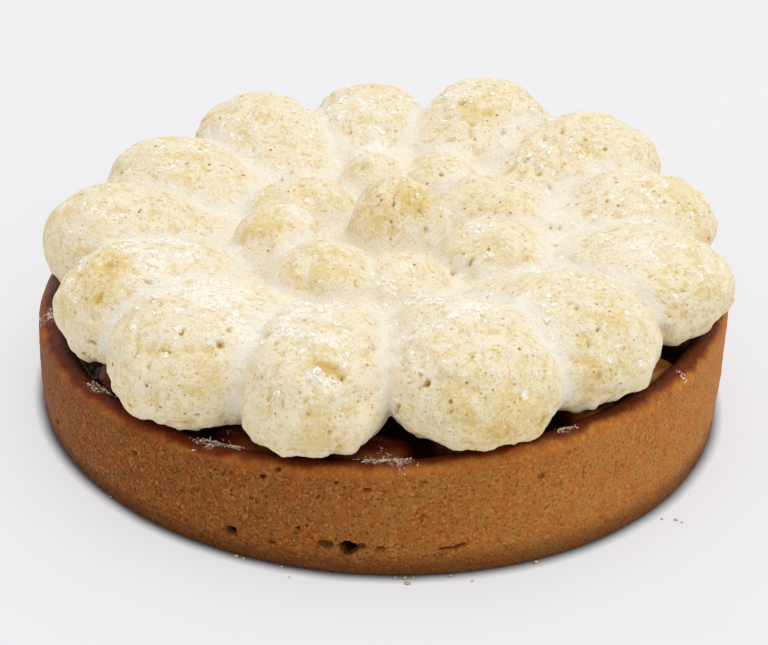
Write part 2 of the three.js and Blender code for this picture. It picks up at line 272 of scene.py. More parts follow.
def blended_union(distances, width):
    """Smallest of the distances with filleted joints: -width log(sum(exp(-distance / width)))."""
    nearest = np.minimum.reduce(distances)
    total = sum(np.exp((nearest - distance) / width) for distance in distances)
    return nearest - width * np.log(total)


# ---------------------------------------------------------------- shared forms of the tart


def rim_level(x, y):
    """Height of the rim's ridge, carried inwards.

    The height falls to one side by a lean that grows with the distance from the middle, and
    has a two-fold wave that grows with its square.
    """
    share = np.hypot(x, y) / RIM_RADIUS
    angle = np.arctan2(y, x)
    lean = RIM_LEAN * share * np.cos(angle - math.radians(RIM_LEAN_AZIMUTH))
    wave = RIM_WAVE * share**2 * np.cos(2.0 * (angle - math.radians(RIM_WAVE_AZIMUTH)))
    return RIM_HEIGHT + lean + wave


def rim_height(angle):
    """Height of the rim's ridge at an angle."""
    return rim_level(RIM_RADIUS * np.cos(angle), RIM_RADIUS * np.sin(angle))


def rim_radius(angle):
    """Outer radius at the rim: a circle moved a little to one side."""
    return RIM_RADIUS + OUT_OF_ROUND * np.cos(angle - math.radians(OUT_OF_ROUND_AZIMUTH))


def outer_radius(angle, share):
    """Outer wall's radius at a share of its height: the foot's, eased out to the rim's."""
    return rim_radius(angle) - FOOT_TAPER * (1.0 - smooth_step(0.0, BELLY_LEVEL, share))


def inner_radius(angle, z):
    """Inner wall's radius: a straight taper from the rim down to the floor's fillet."""
    top = rim_height(angle) - RIM_ROUNDING
    bottom = FLOOR_THICKNESS + FLOOR_FILLET
    share = np.clip((z - bottom) / (top - bottom), 0.0, 1.0)
    return mix(FLOOR_RADIUS + FLOOR_FILLET, rim_radius(angle) - RIM_THICKNESS, share)


# ---------------------------------------------------------------- mesh tools


def ring_faces(rows, columns):
    """Quads of a grid of closed rings, stored row by row, in the order that faces outwards."""
    row, column = np.meshgrid(np.arange(rows - 1), np.arange(columns), indexing="ij")
    after = (column + 1) % columns
    quads = (row * columns + column, row * columns + after)
    quads += ((row + 1) * columns + after, (row + 1) * columns + column)
    return np.stack(quads, -1).reshape(-1, 4)


def fan_faces(ring, tip, outwards):
    """Triangles from a closed ring of point numbers to one tip."""
    after = np.roll(ring, -1)
    tips = np.full(len(ring), tip)
    order = (ring, after, tips) if outwards else (after, ring, tips)
    return np.stack(order, -1)


def vertex_normals(points, faces):
    """Unit normals of points: the sum of the cross products of their faces' diagonals."""
    first, second, third, fourth = (points[faces[:, k]] for k in range(4))
    cross = np.cross(third - first, fourth - second)
    normals = np.zeros_like(points)
    for k in range(4):
        np.add.at(normals, faces[:, k], cross)
    return normals / np.maximum(np.linalg.norm(normals, axis=-1, keepdims=True), 1e-12)


def ring_solid(rings, columns):
    """Points, quads and the triangles of both ends of a closed solid of rings.

    The first ring is closed by a fan that faces down and the last by one that faces up. Their
    two tips are the points after the rings' own.
    """
    points = np.concatenate(rings)
    first = np.arange(columns)
    last = first + len(points) - columns
    ends = [fan_faces(first, len(points), False), fan_faces(last, len(points) + 1, True)]
    return points, ring_faces(len(rings), columns), ends


def make_object(name, points, face_sets, attributes):
    """A smooth mesh object from points in millimetres, arrays of faces and point attributes."""
    mesh = bpy.data.meshes.new(name)
    faces = [face for face_set in face_sets for face in face_set.tolist()]
    mesh.from_pydata((points * MM).tolist(), [], faces)
    mesh.polygons.foreach_set("use_smooth", np.ones(len(mesh.polygons), bool))
    for label, values in attributes.items():
        layer = mesh.attributes.new(label, "FLOAT", "POINT")
        layer.data.foreach_set("value", np.asarray(values, np.float32))
    mesh.validate()
    mesh.update()
    piece = bpy.data.objects.new(name, mesh)
    bpy.context.scene.collection.objects.link(piece)
    return piece


def build(name, surface, material, slot, *replaced):
    """Makes a piece of a surface's points, face arrays and attributes, and dresses it. The slot is
    not used.

    It gets its material and its body, and hides the model's nodes that it stands for.
    """
    piece = make_object(name, *surface)
    piece.data.materials.append(material)
    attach(piece, "root")
    if replaced:
        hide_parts(*replaced)


def surface_of(name):
    """Points in millimetres and unit normals of a finished piece."""
    mesh = bpy.data.objects[name].data
    points = np.empty(len(mesh.vertices) * 3, np.float32)
    normals = np.empty(len(mesh.vertices) * 3, np.float32)
    mesh.vertices.foreach_get("co", points)
    mesh.vertex_normals.foreach_get("vector", normals)
    return points.reshape(-1, 3).astype(float) / MM, normals.reshape(-1, 3).astype(float)


def attribute_of(name, label):
    """Values of a point attribute of a finished piece."""
    layer = bpy.data.objects[name].data.attributes[label]
    values = np.empty(len(layer.data), np.float32)
    layer.data.foreach_get("value", values)
    return values.astype(float)


def unit_icosahedron():
    """Corners and faces of a regular solid of twenty triangles, radius 1."""
    golden = (1.0 + math.sqrt(5.0)) / 2.0
    pairs = [(a, b * golden) for a in (-1.0, 1.0) for b in (-1.0, 1.0)]
    corners = [(0.0, a, b) for a, b in pairs]
    corners += [(a, b, 0.0) for a, b in pairs]
    corners += [(b, 0.0, a) for a, b in pairs]
    corners = np.array(corners) / math.hypot(1.0, golden)
    gaps = np.linalg.norm(corners[:, None] - corners[None], axis=-1)
    # Neighbours are 1.05 apart, and the next nearest corners 1.7.
    near = (gaps > 0.5) & (gaps < 1.2)
    faces = []
    for a in range(12):
        for b in range(a + 1, 12):
            for c in range(b + 1, 12):
                if near[a, b] and near[b, c] and near[a, c]:
                    side = np.cross(corners[b] - corners[a], corners[c] - corners[a])
                    faces.append((a, b, c) if side @ corners[a] > 0 else (a, c, b))
    return corners, np.array(faces)


# Shape of a grain: how far its corners move in and out, and how much longer it gets than wide.
CORNER_JITTER = (0.65, 1.25)
GRAIN_STRETCH = (0.8, 1.5)


def grain_cloud(centres, normals, radii, flatness, draw):
    """Many small lumps as one surface: points, face arrays and no attributes.

    Each is an icosahedron with jittered corners, turned about the surface's normal and
    pressed flat along it: corner = centre + radius (u tangent + v bitangent + w normal).
    """
    corners, faces = unit_icosahedron()
    count = len(centres)
    helper = np.where(np.abs(normals[:, 2:]) < 0.9, [[0.0, 0.0, 1.0]], [[1.0, 0.0, 0.0]])
    tangent = np.cross(helper, normals)
    tangent /= np.linalg.norm(tangent, axis=-1, keepdims=True)
    other = np.cross(normals, tangent)
    spin = draw.uniform(0.0, 2.0 * math.pi, (count, 1))
    along = tangent * np.cos(spin) + other * np.sin(spin)
    across = other * np.cos(spin) - tangent * np.sin(spin)
    jitter = draw.uniform(*CORNER_JITTER, (count, len(corners), 1))
    stretch = np.stack([draw.uniform(*GRAIN_STRETCH, count), np.ones(count), flatness], -1)
    local = corners[None] * jitter * stretch[:, None]
    axes = np.stack([along, across, normals], 1)
    points = centres[:, None] + radii[:, None, None] * np.einsum("nci,nij->ncj", local, axes)
    shifts = (np.arange(count) * len(corners))[:, None, None]
    return points.reshape(-1, 3), [(faces[None] + shifts).reshape(-1, 3)], {}


# ---------------------------------------------------------------- shell

# Burst bubbles and cracks in the outer wall: azimuth, height, half length, half height, depth.
WALL_HOLES = (
    (-94.1, 4.4, 1.15, 1.2, 2.6), (-95.4, 4.7, 0.6, 0.4, 0.6), (-92.3, 4.8, 0.7, 0.6, 0.6),
    (-97.7, 4.6, 1.45, 0.75, 0.65), (-89.3, 4.5, 0.85, 0.45, 0.55), (-90.5, 3.3, 0.65, 0.2, 0.7),
    (-79.3, 4.3, 1.2, 0.24, 0.9), (-78.2, 4.4, 1.3, 0.24, 0.8), (-77.0, 4.6, 0.9, 0.24, 0.8),
    (-112.8, 4.0, 0.85, 0.75, 1.5), (-106.1, 3.5, 0.65, 0.22, 0.9),
    (-107.7, 13.5, 0.42, 0.4, 0.9), (-102.1, 6.6, 0.38, 0.3, 0.8), (-100.7, 7.3, 0.35, 0.22, 0.5),
    (-91.9, 13.8, 0.75, 0.25, 0.6), (-96.4, 14.4, 0.35, 0.3, 0.7), (-95.0, 13.7, 0.3, 0.25, 0.5),
    (-98.9, 12.0, 0.3, 0.25, 0.5), (-83.3, 14.8, 0.35, 0.22, 0.6), (-86.8, 12.7, 0.5, 0.4, 0.3),
    (-64.6, 13.7, 0.95, 0.85, 0.32), (-63.4, 8.7, 0.3, 0.3, 0.5), (-105.4, 15.1, 0.6, 0.28, 0.6),
    (-109.3, 10.0, 0.3, 0.25, 0.5), (-131.0, 10.2, 0.4, 0.3, 0.6), (-155.0, 4.1, 0.5, 0.4, 0.8),
    (-61.0, 11.5, 0.5, 0.25, 0.5), (-38.0, 9.0, 0.35, 0.3, 0.4), (-20.0, 4.2, 0.8, 0.3, 0.7),
    (15.0, 6.0, 0.9, 0.4, 0.8), (35.0, 9.5, 0.4, 0.3, 0.6), (58.0, 4.2, 0.7, 0.6, 1.1),
    (75.0, 12.0, 0.3, 0.3, 0.5), (96.0, 7.8, 1.3, 0.22, 0.6), (118.0, 5.0, 0.9, 0.3, 0.7),
    (141.0, 3.9, 0.8, 0.5, 0.9), (171.0, 8.6, 0.5, 0.35, 0.6),
)

# Steps of the shell's profile: shares of the underside's radius, bends of the foot's rounding in
# degrees, steps over the rim, shares of the inner wall's height, and the floor's innermost share.
UNDERSIDE_SHARES = (0.04, 0.4, 0.7, 0.9)
FOOT_BENDS = (0.0, 22.5, 45.0, 67.5)
RIM_STEPS = 20
INNER_WALL_SHARES = (0.88, 0.75, 0.4, 0.0)
MIDDLE_SHARE = 0.05

# Share of a burst bubble's radius that its sides take.
BUBBLE_SIDES = 0.75


def crust_profile(angle):
    """Rings of the shell from the middle of its underside to the middle of its floor.

    Every ring is a radius and a height as functions of the angle; the wall's rings are close.
    """
    ridge = rim_height(angle)
    level = np.zeros_like(angle)
    rings = [(outer_radius(angle, 0.0) * share, level) for share in UNDERSIDE_SHARES]
    for bend in np.radians(FOOT_BENDS):
        inset = FOOT_ROUNDING * (1.0 - math.sin(bend))
        lift = FOOT_ROUNDING * (1.0 - math.cos(bend))
        rings.append((outer_radius(angle, 0.0) - inset, level + lift))
    for share in np.linspace(0.0, 1.0, WALL_ROWS):
        z = mix(FOOT_ROUNDING, ridge - RIM_ROUNDING, share)
        rings.append((outer_radius(angle, share), z))
    for bend in np.radians(np.linspace(0.0, 180.0, RIM_STEPS + 1)[1:]):
        middle = rim_radius(angle) - RIM_THICKNESS / 2.0
        radius = middle + RIM_THICKNESS / 2.0 * math.cos(bend)
        rings.append((radius, ridge - RIM_ROUNDING * (1.0 - math.sin(bend))))
    for share in INNER_WALL_SHARES:
        z = mix(FLOOR_THICKNESS + FLOOR_FILLET, ridge - RIM_ROUNDING, share)
        rings.append((inner_radius(angle, z), z))
    rings.append((level + FLOOR_RADIUS, level + FLOOR_THICKNESS))
    rings.append((level + FLOOR_RADIUS * MIDDLE_SHARE, level + FLOOR_THICKNESS))
    return rings


def wall_holes(points):
    """Depth of the burst bubbles at points of the outer wall: rounded pits with ragged sides."""
    angle = np.arctan2(points[:, 1], points[:, 0])
    depth = np.zeros(len(points))
    wobble = relief(points, *HOLE_EDGE)
    for azimuth, height, half_length, half_height, deepest in WALL_HOLES:
        turn = angle - math.radians(azimuth)
        along = RIM_RADIUS * np.arctan2(np.sin(turn), np.cos(turn)) / half_length
        up = (points[:, 2] - height) / half_height
        near = 1.0 - (along**2 + up**2) * (1.0 + wobble)
        depth = np.maximum(depth, deepest * smooth_step(0.0, BUBBLE_SIDES, near))
    return depth


# Where the shell's relief starts and is full, in millimetres above the table and from the axis,
# how far in from the rim's radius burst bubbles reach, and between which shares of the rim's
# height the wall turns as rough as its trimmed edge.
RELIEF_ABOVE_TABLE = (0.0, 1.2)
RELIEF_FROM_AXIS = (43.0, 45.5)
WALL_DEPTH = 1.6
TRIMMED_RISE = (0.9, 1.0)

# Painted shade of holes, darker for their depth: a pore's share of its depth, and the depth of a
# burst bubble that is painted black.
PORE_SHADE = 0.5
BLACK_DEPTH = 1.5

# Syrup on the rim: how far in it starts and is full, how much farther out it creeps over the two
# sides, between which X, and the rise below which the wall is dry.
SYRUP_REACH = (0.2, 1.9)
LEFT_CREEP = 0.55
LEFT_SIDE = (10.0, -40.0)
RIGHT_CREEP = 0.5
RIGHT_SIDE = (20.0, 45.0)
DRY_BELOW = 0.85

# Powder under the grains of sugar: its spread as a share of theirs, and the count of grains that
# covers the place in full.
POWDER_SPREAD = 1.6
FULL_POWDER = 90.0


def spilt_sugar(points):
    """Cover of the powder under the grains of sugar: spots on the rim at the grains' places."""
    spots = []
    for azimuth, distance, spread, count in GRAIN_CLUSTERS:
        height = rim_height(math.radians(azimuth))
        weight = min(1.0, count / FULL_POWDER)
        spots.append((azimuth, distance, height, POWDER_SPREAD * spread, weight))
    return near_spots(points, spots)


def crust_surface():
    """Shell as a grid of rings, roughened like sandy baked dough.

    The profile's points move along their normals by layered noise of crumb size, less the
    depth of small pits and of the burst bubbles. The flat underside stays flat. The points hold
    their rise to the rim, the depth of holes for their painted shade, the syrup that soaked in,
    how far inwards on the rim they are, and the spilt powder.
    """
    angle = np.linspace(0.0, 2.0 * math.pi, CRUST_COLUMNS, endpoint=False)
    rings = [polar(radius, angle, z) for radius, z in crust_profile(angle)]
    points, faces, ends = ring_solid(rings, CRUST_COLUMNS)
    normals = vertex_normals(points, faces)
    distance = np.hypot(points[:, 0], points[:, 1])
    shown = smooth_step(*RELIEF_ABOVE_TABLE, points[:, 2])
    shown *= smooth_step(*RELIEF_FROM_AXIS, distance)
    rise = points[:, 2] / rim_level(points[:, 0], points[:, 1])
    move = relief(points, *SHELL_SWELL) + relief(points, *SHELL_CRUMB)
    move += smooth_step(*TRIMMED_RISE, rise) * relief(points, *TRIMMED_RIM)
    pores = SHELL_PORE_DEPTH * pits(points, *SHELL_PORES)
    burst = wall_holes(points) * (distance > RIM_RADIUS - WALL_DEPTH)
    moved = points + normals * (shown * (move - pores - burst))[:, None]
    moved[:, 2] = np.maximum(moved[:, 2], 0.0)
    inwards = rim_radius(np.arctan2(points[:, 1], points[:, 0])) - distance
    creep = LEFT_CREEP * smooth_step(*LEFT_SIDE, points[:, 0])
    creep += RIGHT_CREEP * smooth_step(*RIGHT_SIDE, points[:, 0])
    soaked = smooth_step(*SYRUP_REACH, inwards + creep + relief(points, *SYRUP_EDGE))
    attributes = {
        "rise": (rise, 0.0, 0.2),
        "hole_shade": (np.clip(shown * (PORE_SHADE * pores + burst / BLACK_DEPTH), 0.0, 1.0), 0.0, 0.0),
        "soaked": (soaked * (rise > DRY_BELOW), 0.0, 0.0),
        "inwards": (np.clip(inwards / RIM_THICKNESS, 0.0, 1.0), 1.0, 1.0),
        "spilt": (spilt_sugar(points), 0.0, 0.0),
    }
    for label, (values, *at_tips) in attributes.items():
        attributes[label] = np.append(values, at_tips)
    tips = [[0.0, 0.0, 0.0], [0.0, 0.0, FLOOR_THICKNESS]]
    return np.concatenate([moved, tips]), [faces, *ends], attributes


# ---------------------------------------------------------------- apple filling

# Steps of the sequences that give the apple pieces their shift, turn and size, the widest shift
# as a share of their pitch, and the smallest and largest size.
CHUNK_SPREAD = (0.618, 0.5698, 0.7549)
CHUNK_SHIFT = 0.3
CHUNK_SIZES = (0.85, 1.15)


def apple_domes(x, y):
    """Height of the ring of apple pieces, from 0 to 1: half ellipsoids turned each its own way.

    The n-th value of a sequence is n times its step without the whole part, which fills 0 to 1
    evenly without repeating.
    """
    dome = np.zeros_like(x)
    for i in range(CHUNK_COUNT):
        shift, turn, size = (((i + 1) * step) % 1.0 for step in CHUNK_SPREAD)
        shift = CHUNK_SHIFT * (shift - 0.5)
        angle = math.radians(CHUNK_START + 360.0 * (i + shift) / CHUNK_COUNT)
        turn = angle + math.radians(90.0 + CHUNK_TURN * (turn - 0.5))
        size = mix(*CHUNK_SIZES, size)
        dx = x - CHUNK_RING_RADIUS * math.cos(angle)
        dy = y - CHUNK_RING_RADIUS * math.sin(angle)
        along = dx * math.cos(turn) + dy * math.sin(turn)
        across = dy * math.cos(turn) - dx * math.sin(turn)
        u = 2.0 * along / (CHUNK_LENGTH * size)
        v = 2.0 * across / (CHUNK_WIDTH * size)
        dome = np.maximum(dome, np.sqrt(np.maximum(0.0, 1.0 - u * u - v * v)))
    return dome


def filling_level(x, y):
    """Height of the filling's top: a bed that sinks near the wall, with the apple domes on it."""
    full = rim_level(x, y) + REST_GAP - FIT_GAP
    sink = EDGE_SINK * smooth_step(SINK_STARTS_AT, SINK_ENDS_AT, np.hypot(x, y))
    return np.minimum(full, full - sink + CHUNK_HEIGHT * apple_domes(x, y))


# Rings of the filling: how far below its edge along the wall, and how far in from the wall on top.
BELOW_EDGE = (1.5, 0.6)
FROM_WALL = (*np.linspace(0.1, OPEN_EDGE, 38), 20.0, 32.0, 43.0)


def filling_surface():
    """Filling as a grid of rings: plain where it is hidden, close-set round its glossy edge.

    Its top is the filling's level plus noise and a meniscus that falls off with the exponential
    of the distance from the wall, and stays under the topping.
    """
    angle = np.linspace(0.0, 2.0 * math.pi, FILLING_COLUMNS, endpoint=False)
    bottom = FLOOR_THICKNESS + FIT_GAP
    rings = [polar(FLOOR_RADIUS * MIDDLE_SHARE, angle, bottom)]
    rings.append(polar(FLOOR_RADIUS - FIT_GAP, angle, bottom))
    elbow = bottom + FLOOR_FILLET
    rings.append(polar(inner_radius(angle, elbow) - FIT_GAP, angle, elbow))
    edge = rim_height(angle) - EDGE_SINK
    wall = inner_radius(angle, edge) - FIT_GAP / 2.0
    rings += [polar(wall, angle, edge - drop) for drop in BELOW_EDGE]
    for inset in FROM_WALL:
        ring = polar(wall - inset, angle, 0.0)
        lumpy = relief(ring, *FRUIT_LUMPS) if inset <= OPEN_EDGE else 0.0
        meniscus = MENISCUS_HEIGHT * np.exp(-inset / MENISCUS_WIDTH)
        level = filling_level(ring[:, 0], ring[:, 1]) + meniscus + lumpy
        highest = rest_level(ring[:, 0], ring[:, 1]) - FRUIT_UNDER_TOPPING
        ring[:, 2] = np.minimum(level, highest)
        rings.append(ring)
    points, faces, ends = ring_solid(rings, FILLING_COLUMNS)
    tips = [[0.0, 0.0, bottom], [0.0, 0.0, float(filling_level(0.0, 0.0))]]
    apple = np.append(apple_domes(points[:, 0], points[:, 1]), [0.0, 0.0])
    return np.concatenate([points, tips]), [faces, *ends], {"apple": apple}


# ---------------------------------------------------------------- piped topping


def rest_level(x, y):
    """Height of the topping's underside, which lies along the rim."""
    return rim_level(x, y) + REST_GAP


def blob(x, y, angle, reach, half_width, crown):
    """Centre, direction and half axes of one piped superellipsoid."""
    z = float(rest_level(x, y)) + BELLY_ABOVE_REST
    return (x, y, z), angle, (reach, half_width, crown - z)


def blob_distance(points, shape):
    """Distance to a superellipsoid: (p-norm of the scaled offset - 1) times its least half axis.

    Below its widest level the blob is flatter, so that it draws in towards the rim.
    """
    (x, y, z), angle, (reach, half_width, half_height) = shape
    dx, dy, dz = (points - (x, y, z)).T
    along = np.abs(dx * math.cos(angle) + dy * math.sin(angle)) / reach
    across = np.abs(dy * math.cos(angle) - dx * math.sin(angle)) / half_width
    up = np.abs(dz) / np.where(dz < 0.0, LOWER_HALF_HEIGHT, half_height)
    norm = (along**BLOB_POWER + across**BLOB_POWER + up**BLOB_POWER) ** (1.0 / BLOB_POWER)
    return (norm - 1.0) * min(reach, half_width, half_height)


def plate_distance(points):
    """Distance to the rounded disc that the heads run together into."""
    distance = np.hypot(points[:, 0], points[:, 1])
    beyond = np.maximum(distance - (PLATE_RADIUS - PLATE_ROUNDING), 0.0)
    level = points[:, 2] - rest_level(points[:, 0], points[:, 1])
    above = np.abs(level - PLATE_LEVEL) - (PLATE_HALF_THICKNESS - PLATE_ROUNDING)
    return np.hypot(beyond, np.maximum(above, 0.0)) - PLATE_ROUNDING


def lumps(points):
    """Soft lumps of piped batter: a sum of sine waves, each along a direction of its own."""
    total = np.zeros(len(points))
    for n in range(1, LUMP_WAVES + 1):
        turn = LUMP_TURN * n
        direction = np.array([math.cos(turn), math.sin(turn), math.cos(LUMP_TILT * n)])
        total += np.sin(2.0 * math.pi * (points @ direction) / (LUMP_LENGTH + n) + n)
    return LUMP_HEIGHT * total


def outer_blobs():
    """Each outer head with its lower tail, where the piping bag was pulled in to the middle."""
    pairs = []
    for azimuth, radius, half_width, reach, crown, drop in OUTER_HEADS:
        angle = math.radians(azimuth)
        x, y, _ = polar(radius, angle, 0.0).tolist()
        head = blob(x, y, angle, reach, half_width, crown)
        x, y, _ = polar(radius - TAIL_SHIFT, angle, 0.0).tolist()
        tail = blob(x, y, angle, TAIL_REACH, half_width * TAIL_WIDTH_SHARE, crown - drop)
        pairs.append((head, tail))
    return pairs


OUTER_BLOBS = outer_blobs()
INNER_BLOBS = [blob(x, y, 0.0, half_x, half_y, top) for x, y, half_x, half_y, top in INNER_HEADS]


def topping_distance(points):
    """Distance to the topping's skin, negative inside: heads, tails and plate run together."""
    outer = [
        blended_union([blob_distance(points, head), blob_distance(points, tail)], TAIL_BLEND)
        for head, tail in OUTER_BLOBS
    ]
    inner = [blob_distance(points, shape) for shape in INNER_BLOBS]
    united = [blended_union(outer, GROOVE_BLEND), blended_union(inner, INNER_BLEND)]
    solid = blended_union([*united, plate_distance(points)], BODY_BLEND) + lumps(points)
    below = rest_level(points[:, 0], points[:, 1]) - points[:, 2]
    return -blended_union([-solid, -below], UNDERSIDE_BLEND)


def cast_to_skin(origins, directions):
    """Where rays from inside the topping leave it, found by halving the stretch in doubt."""
    inside = np.zeros(len(origins))
    outside = np.full(len(origins), CAST_DISTANCE)
    for _ in range(CAST_HALVINGS):
        middle = (inside + outside) / 2.0
        within = topping_distance(origins + directions * middle[:, None]) < 0.0
        inside = np.where(within, middle, inside)
        outside = np.where(within, outside, middle)
    return origins + directions * ((inside + outside) / 2.0)[:, None]


def disc_grid(steps):
    """Concentric map of a square grid: share of the way out, 0 to 1, and angle of every point.

    The larger coordinate is the share, and the ratio of the two gives the angle in its octant.
    """
    line = np.linspace(-1.0, 1.0, steps + 1)
    u, v = np.meshgrid(line, line, indexing="xy")
    share = np.maximum(np.abs(u), np.abs(v))
    sideways = np.abs(u) >= np.abs(v)
    safe_u = np.where(u == 0.0, 1.0, u)
    safe_v = np.where(v == 0.0, 1.0, v)
    from_u = math.pi / 4.0 * v / safe_u + np.where(u < 0.0, math.pi, 0.0)
    from_v = math.pi / 2.0 - math.pi / 4.0 * u / safe_v + np.where(v < 0.0, math.pi, 0.0)
    return share.ravel(), np.where(sideways, from_u, from_v).ravel()


def grid_faces(steps):
    """Quads of an open square grid, stored row by row."""
    row, column = np.meshgrid(np.arange(steps), np.arange(steps), indexing="ij")
    first = row * (steps + 1) + column
    return np.stack([first, first + 1, first + steps + 2, first + steps + 1], -1).reshape(-1, 4)


def border_of(steps):
    """Point numbers round the border of a square grid, in the direction of growing angle."""
    size = steps + 1
    bottom = np.arange(steps)
    right = np.arange(steps) * size + steps
    top = steps * size + np.arange(steps, 0, -1)
    left = np.arange(steps, 0, -1) * size
    return np.concatenate([bottom, right, top, left])


# Shares of the way from the middle of the top to the bottom edge: disc, shoulder, wall.
DISC_SHARE = 0.56
SHOULDER_SHARE = 0.87
WALL_SHARE = 0.975
EDGE_LEVEL = 0.05
TUCK_SHARE = 0.6


def topping_skin():
    """Base form of the topping on the disc grid: the first crossing of rays with its skin.

    Over the disc the rays rise straight up, round the shoulder they fan out from a circle
    inside, and down the wall they run level from lower and lower starts. The last rows draw
    in under the edge along the underside.
    """
    share, angle = disc_grid(TOPPING_STEPS)
    radius = CORE_RADIUS * np.clip(share / DISC_SHARE, 0.0, 1.0)
    fan = np.clip((share - DISC_SHARE) / (SHOULDER_SHARE - DISC_SHARE), 0.0, 1.0)
    drop = np.clip((share - SHOULDER_SHARE) / (WALL_SHARE - SHOULDER_SHARE), 0.0, 1.0)
    tuck = np.clip((share - WALL_SHARE) / (1.0 - WALL_SHARE), 0.0, 1.0)
    slope = math.pi / 2.0 * (1.0 - fan)
    origins = polar(radius, angle, 0.0)
    origins[:, 2] = rest_level(origins[:, 0], origins[:, 1]) + mix(CORE_LEVEL, EDGE_LEVEL, drop)
    directions = polar(np.cos(slope), angle, np.sin(slope))
    skin = cast_to_skin(origins, directions)
    skin[:, :2] = mix(skin[:, :2], origins[:, :2], TUCK_SHARE * tuck[:, None])
    return skin


# Pores and cracks of the topping: azimuth, distance, height, half length, half height along the
# surface, turn, depth.
TOPPING_MARKS = (
    (-98.6, 46.4, 29.2, 2.8, 1.35, -20.0, 0.6), (-96.4, 46.5, 28.1, 0.5, 0.45, 0.0, 1.0),
    (-92.0, 39.3, 28.9, 0.55, 0.65, 0.0, 1.0), (-83.4, 46.3, 27.9, 0.8, 0.55, 20.0, 0.9),
    (-76.0, 45.3, 31.1, 0.45, 0.45, 0.0, 0.8), (-87.5, 44.7, 23.3, 0.4, 1.2, -15.0, 0.7),
    (-80.0, 49.4, 25.6, 0.4, 0.42, 0.0, 0.5), (-97.5, 50.1, 22.4, 0.42, 0.4, 0.0, 0.6),
    (-96.1, 49.1, 19.6, 0.55, 0.4, 0.0, 0.5), (-104.4, 50.4, 25.6, 0.4, 0.4, 0.0, 0.5),
    (-100.6, 50.6, 24.8, 0.4, 0.4, 0.0, 0.5), (-125.7, 45.4, 28.7, 0.42, 0.45, 0.0, 0.7),
    (-119.1, 44.1, 28.1, 0.6, 0.45, 0.0, 0.6), (-119.3, 48.8, 19.7, 0.45, 0.4, 0.0, 0.6),
    (-130.6, 49.5, 25.5, 0.4, 0.42, 0.0, 0.5), (-147.8, 45.8, 26.0, 0.6, 1.3, 10.0, 0.5),
    (-141.6, 45.8, 24.4, 0.9, 0.7, 40.0, 0.6), (-145.1, 39.5, 27.9, 2.0, 0.4, 12.0, 0.55),
    (-145.6, 47.6, 20.4, 2.4, 0.4, 3.0, 0.9), (-65.2, 49.3, 22.5, 1.0, 0.8, 60.0, 0.9),
    (-51.5, 44.1, 30.4, 0.45, 0.42, 0.0, 0.7), (-54.2, 44.8, 29.1, 0.4, 0.4, 0.0, 0.5),
    (-51.8, 40.0, 31.8, 0.4, 0.4, 0.0, 0.6), (-24.2, 43.0, 28.4, 0.5, 0.45, 0.0, 0.4),
    (-158.6, 2.1, 31.2, 0.45, 0.42, 0.0, 0.9), (-82.9, 2.6, 31.0, 0.42, 0.4, 0.0, 0.9),
    (-30.2, 4.3, 30.2, 0.42, 0.4, 0.0, 0.9), (-113.8, 22.7, 26.3, 0.42, 0.4, 0.0, 0.7),
    (-103.3, 19.5, 27.2, 0.42, 0.4, 0.0, 0.6), (-44.1, 15.6, 26.9, 0.6, 0.5, 0.0, 0.7),
    (-51.2, 14.2, 25.2, 0.5, 0.45, 0.0, 0.7), (73.1, 34.5, 30.9, 0.7, 0.6, 0.0, 0.8),
    (59.6, 32.3, 28.6, 0.5, 0.45, 0.0, 0.6), (45.9, 32.0, 30.2, 0.5, 0.45, 0.0, 0.6),
    (45.0, 27.8, 28.0, 0.5, 0.45, 0.0, 0.6), (146.6, 30.4, 26.2, 0.45, 0.42, 0.0, 0.5),
)

# Toasted places of the topping: azimuth, distance, height, radius, weight.
TOASTED_SPOTS = (
    (-98.6, 46.4, 29.2, 2.3, 0.8), (-99.0, 50.6, 22.8, 4.0, 0.5), (-80.2, 48.3, 27.7, 1.6, 0.6),
    (-71.5, 50.2, 22.5, 6.0, 1.0), (-78.0, 49.5, 26.0, 4.5, 0.6), (-147.8, 45.8, 26.0, 1.5, 1.0),
    (-141.6, 46.0, 24.4, 1.3, 0.9), (-152.0, 43.0, 27.5, 4.5, 1.4),
    (-120.0, 48.0, 25.0, 4.5, 0.4), (-54.0, 46.0, 27.0, 4.0, 0.5), (-48.3, 43.7, 30.9, 3.0, 0.5),
    (-24.2, 43.5, 28.6, 4.0, 0.35), (-20.0, 46.0, 24.5, 3.0, 0.5), (-28.7, 3.2, 31.4, 2.8, 1.3),
    (-120.0, 3.0, 30.0, 4.0, 0.7), (-157.4, 19.3, 30.2, 3.5, 0.7), (-113.3, 20.1, 28.8, 4.0, 0.6),
    (-50.0, 14.0, 28.0, 4.0, 0.45), (134.7, 34.1, 25.5, 4.5, 0.5), (67.7, 33.7, 30.7, 5.0, 0.6),
    (36.9, 33.5, 30.0, 5.0, 0.6), (150.8, 37.2, 28.0, 5.0, 0.4), (124.0, 37.0, 28.0, 4.5, 0.35),
    (10.0, 41.0, 28.0, 5.0, 0.7), (95.0, 46.0, 24.0, 4.5, 0.5), (60.0, 48.0, 24.0, 4.0, 0.6),
    (140.0, 46.0, 22.0, 4.0, 0.5), (178.0, 47.0, 22.5, 4.0, 0.4),
)

# Share of a mark's radius that its sides take.
MARK_SIDES = 0.8


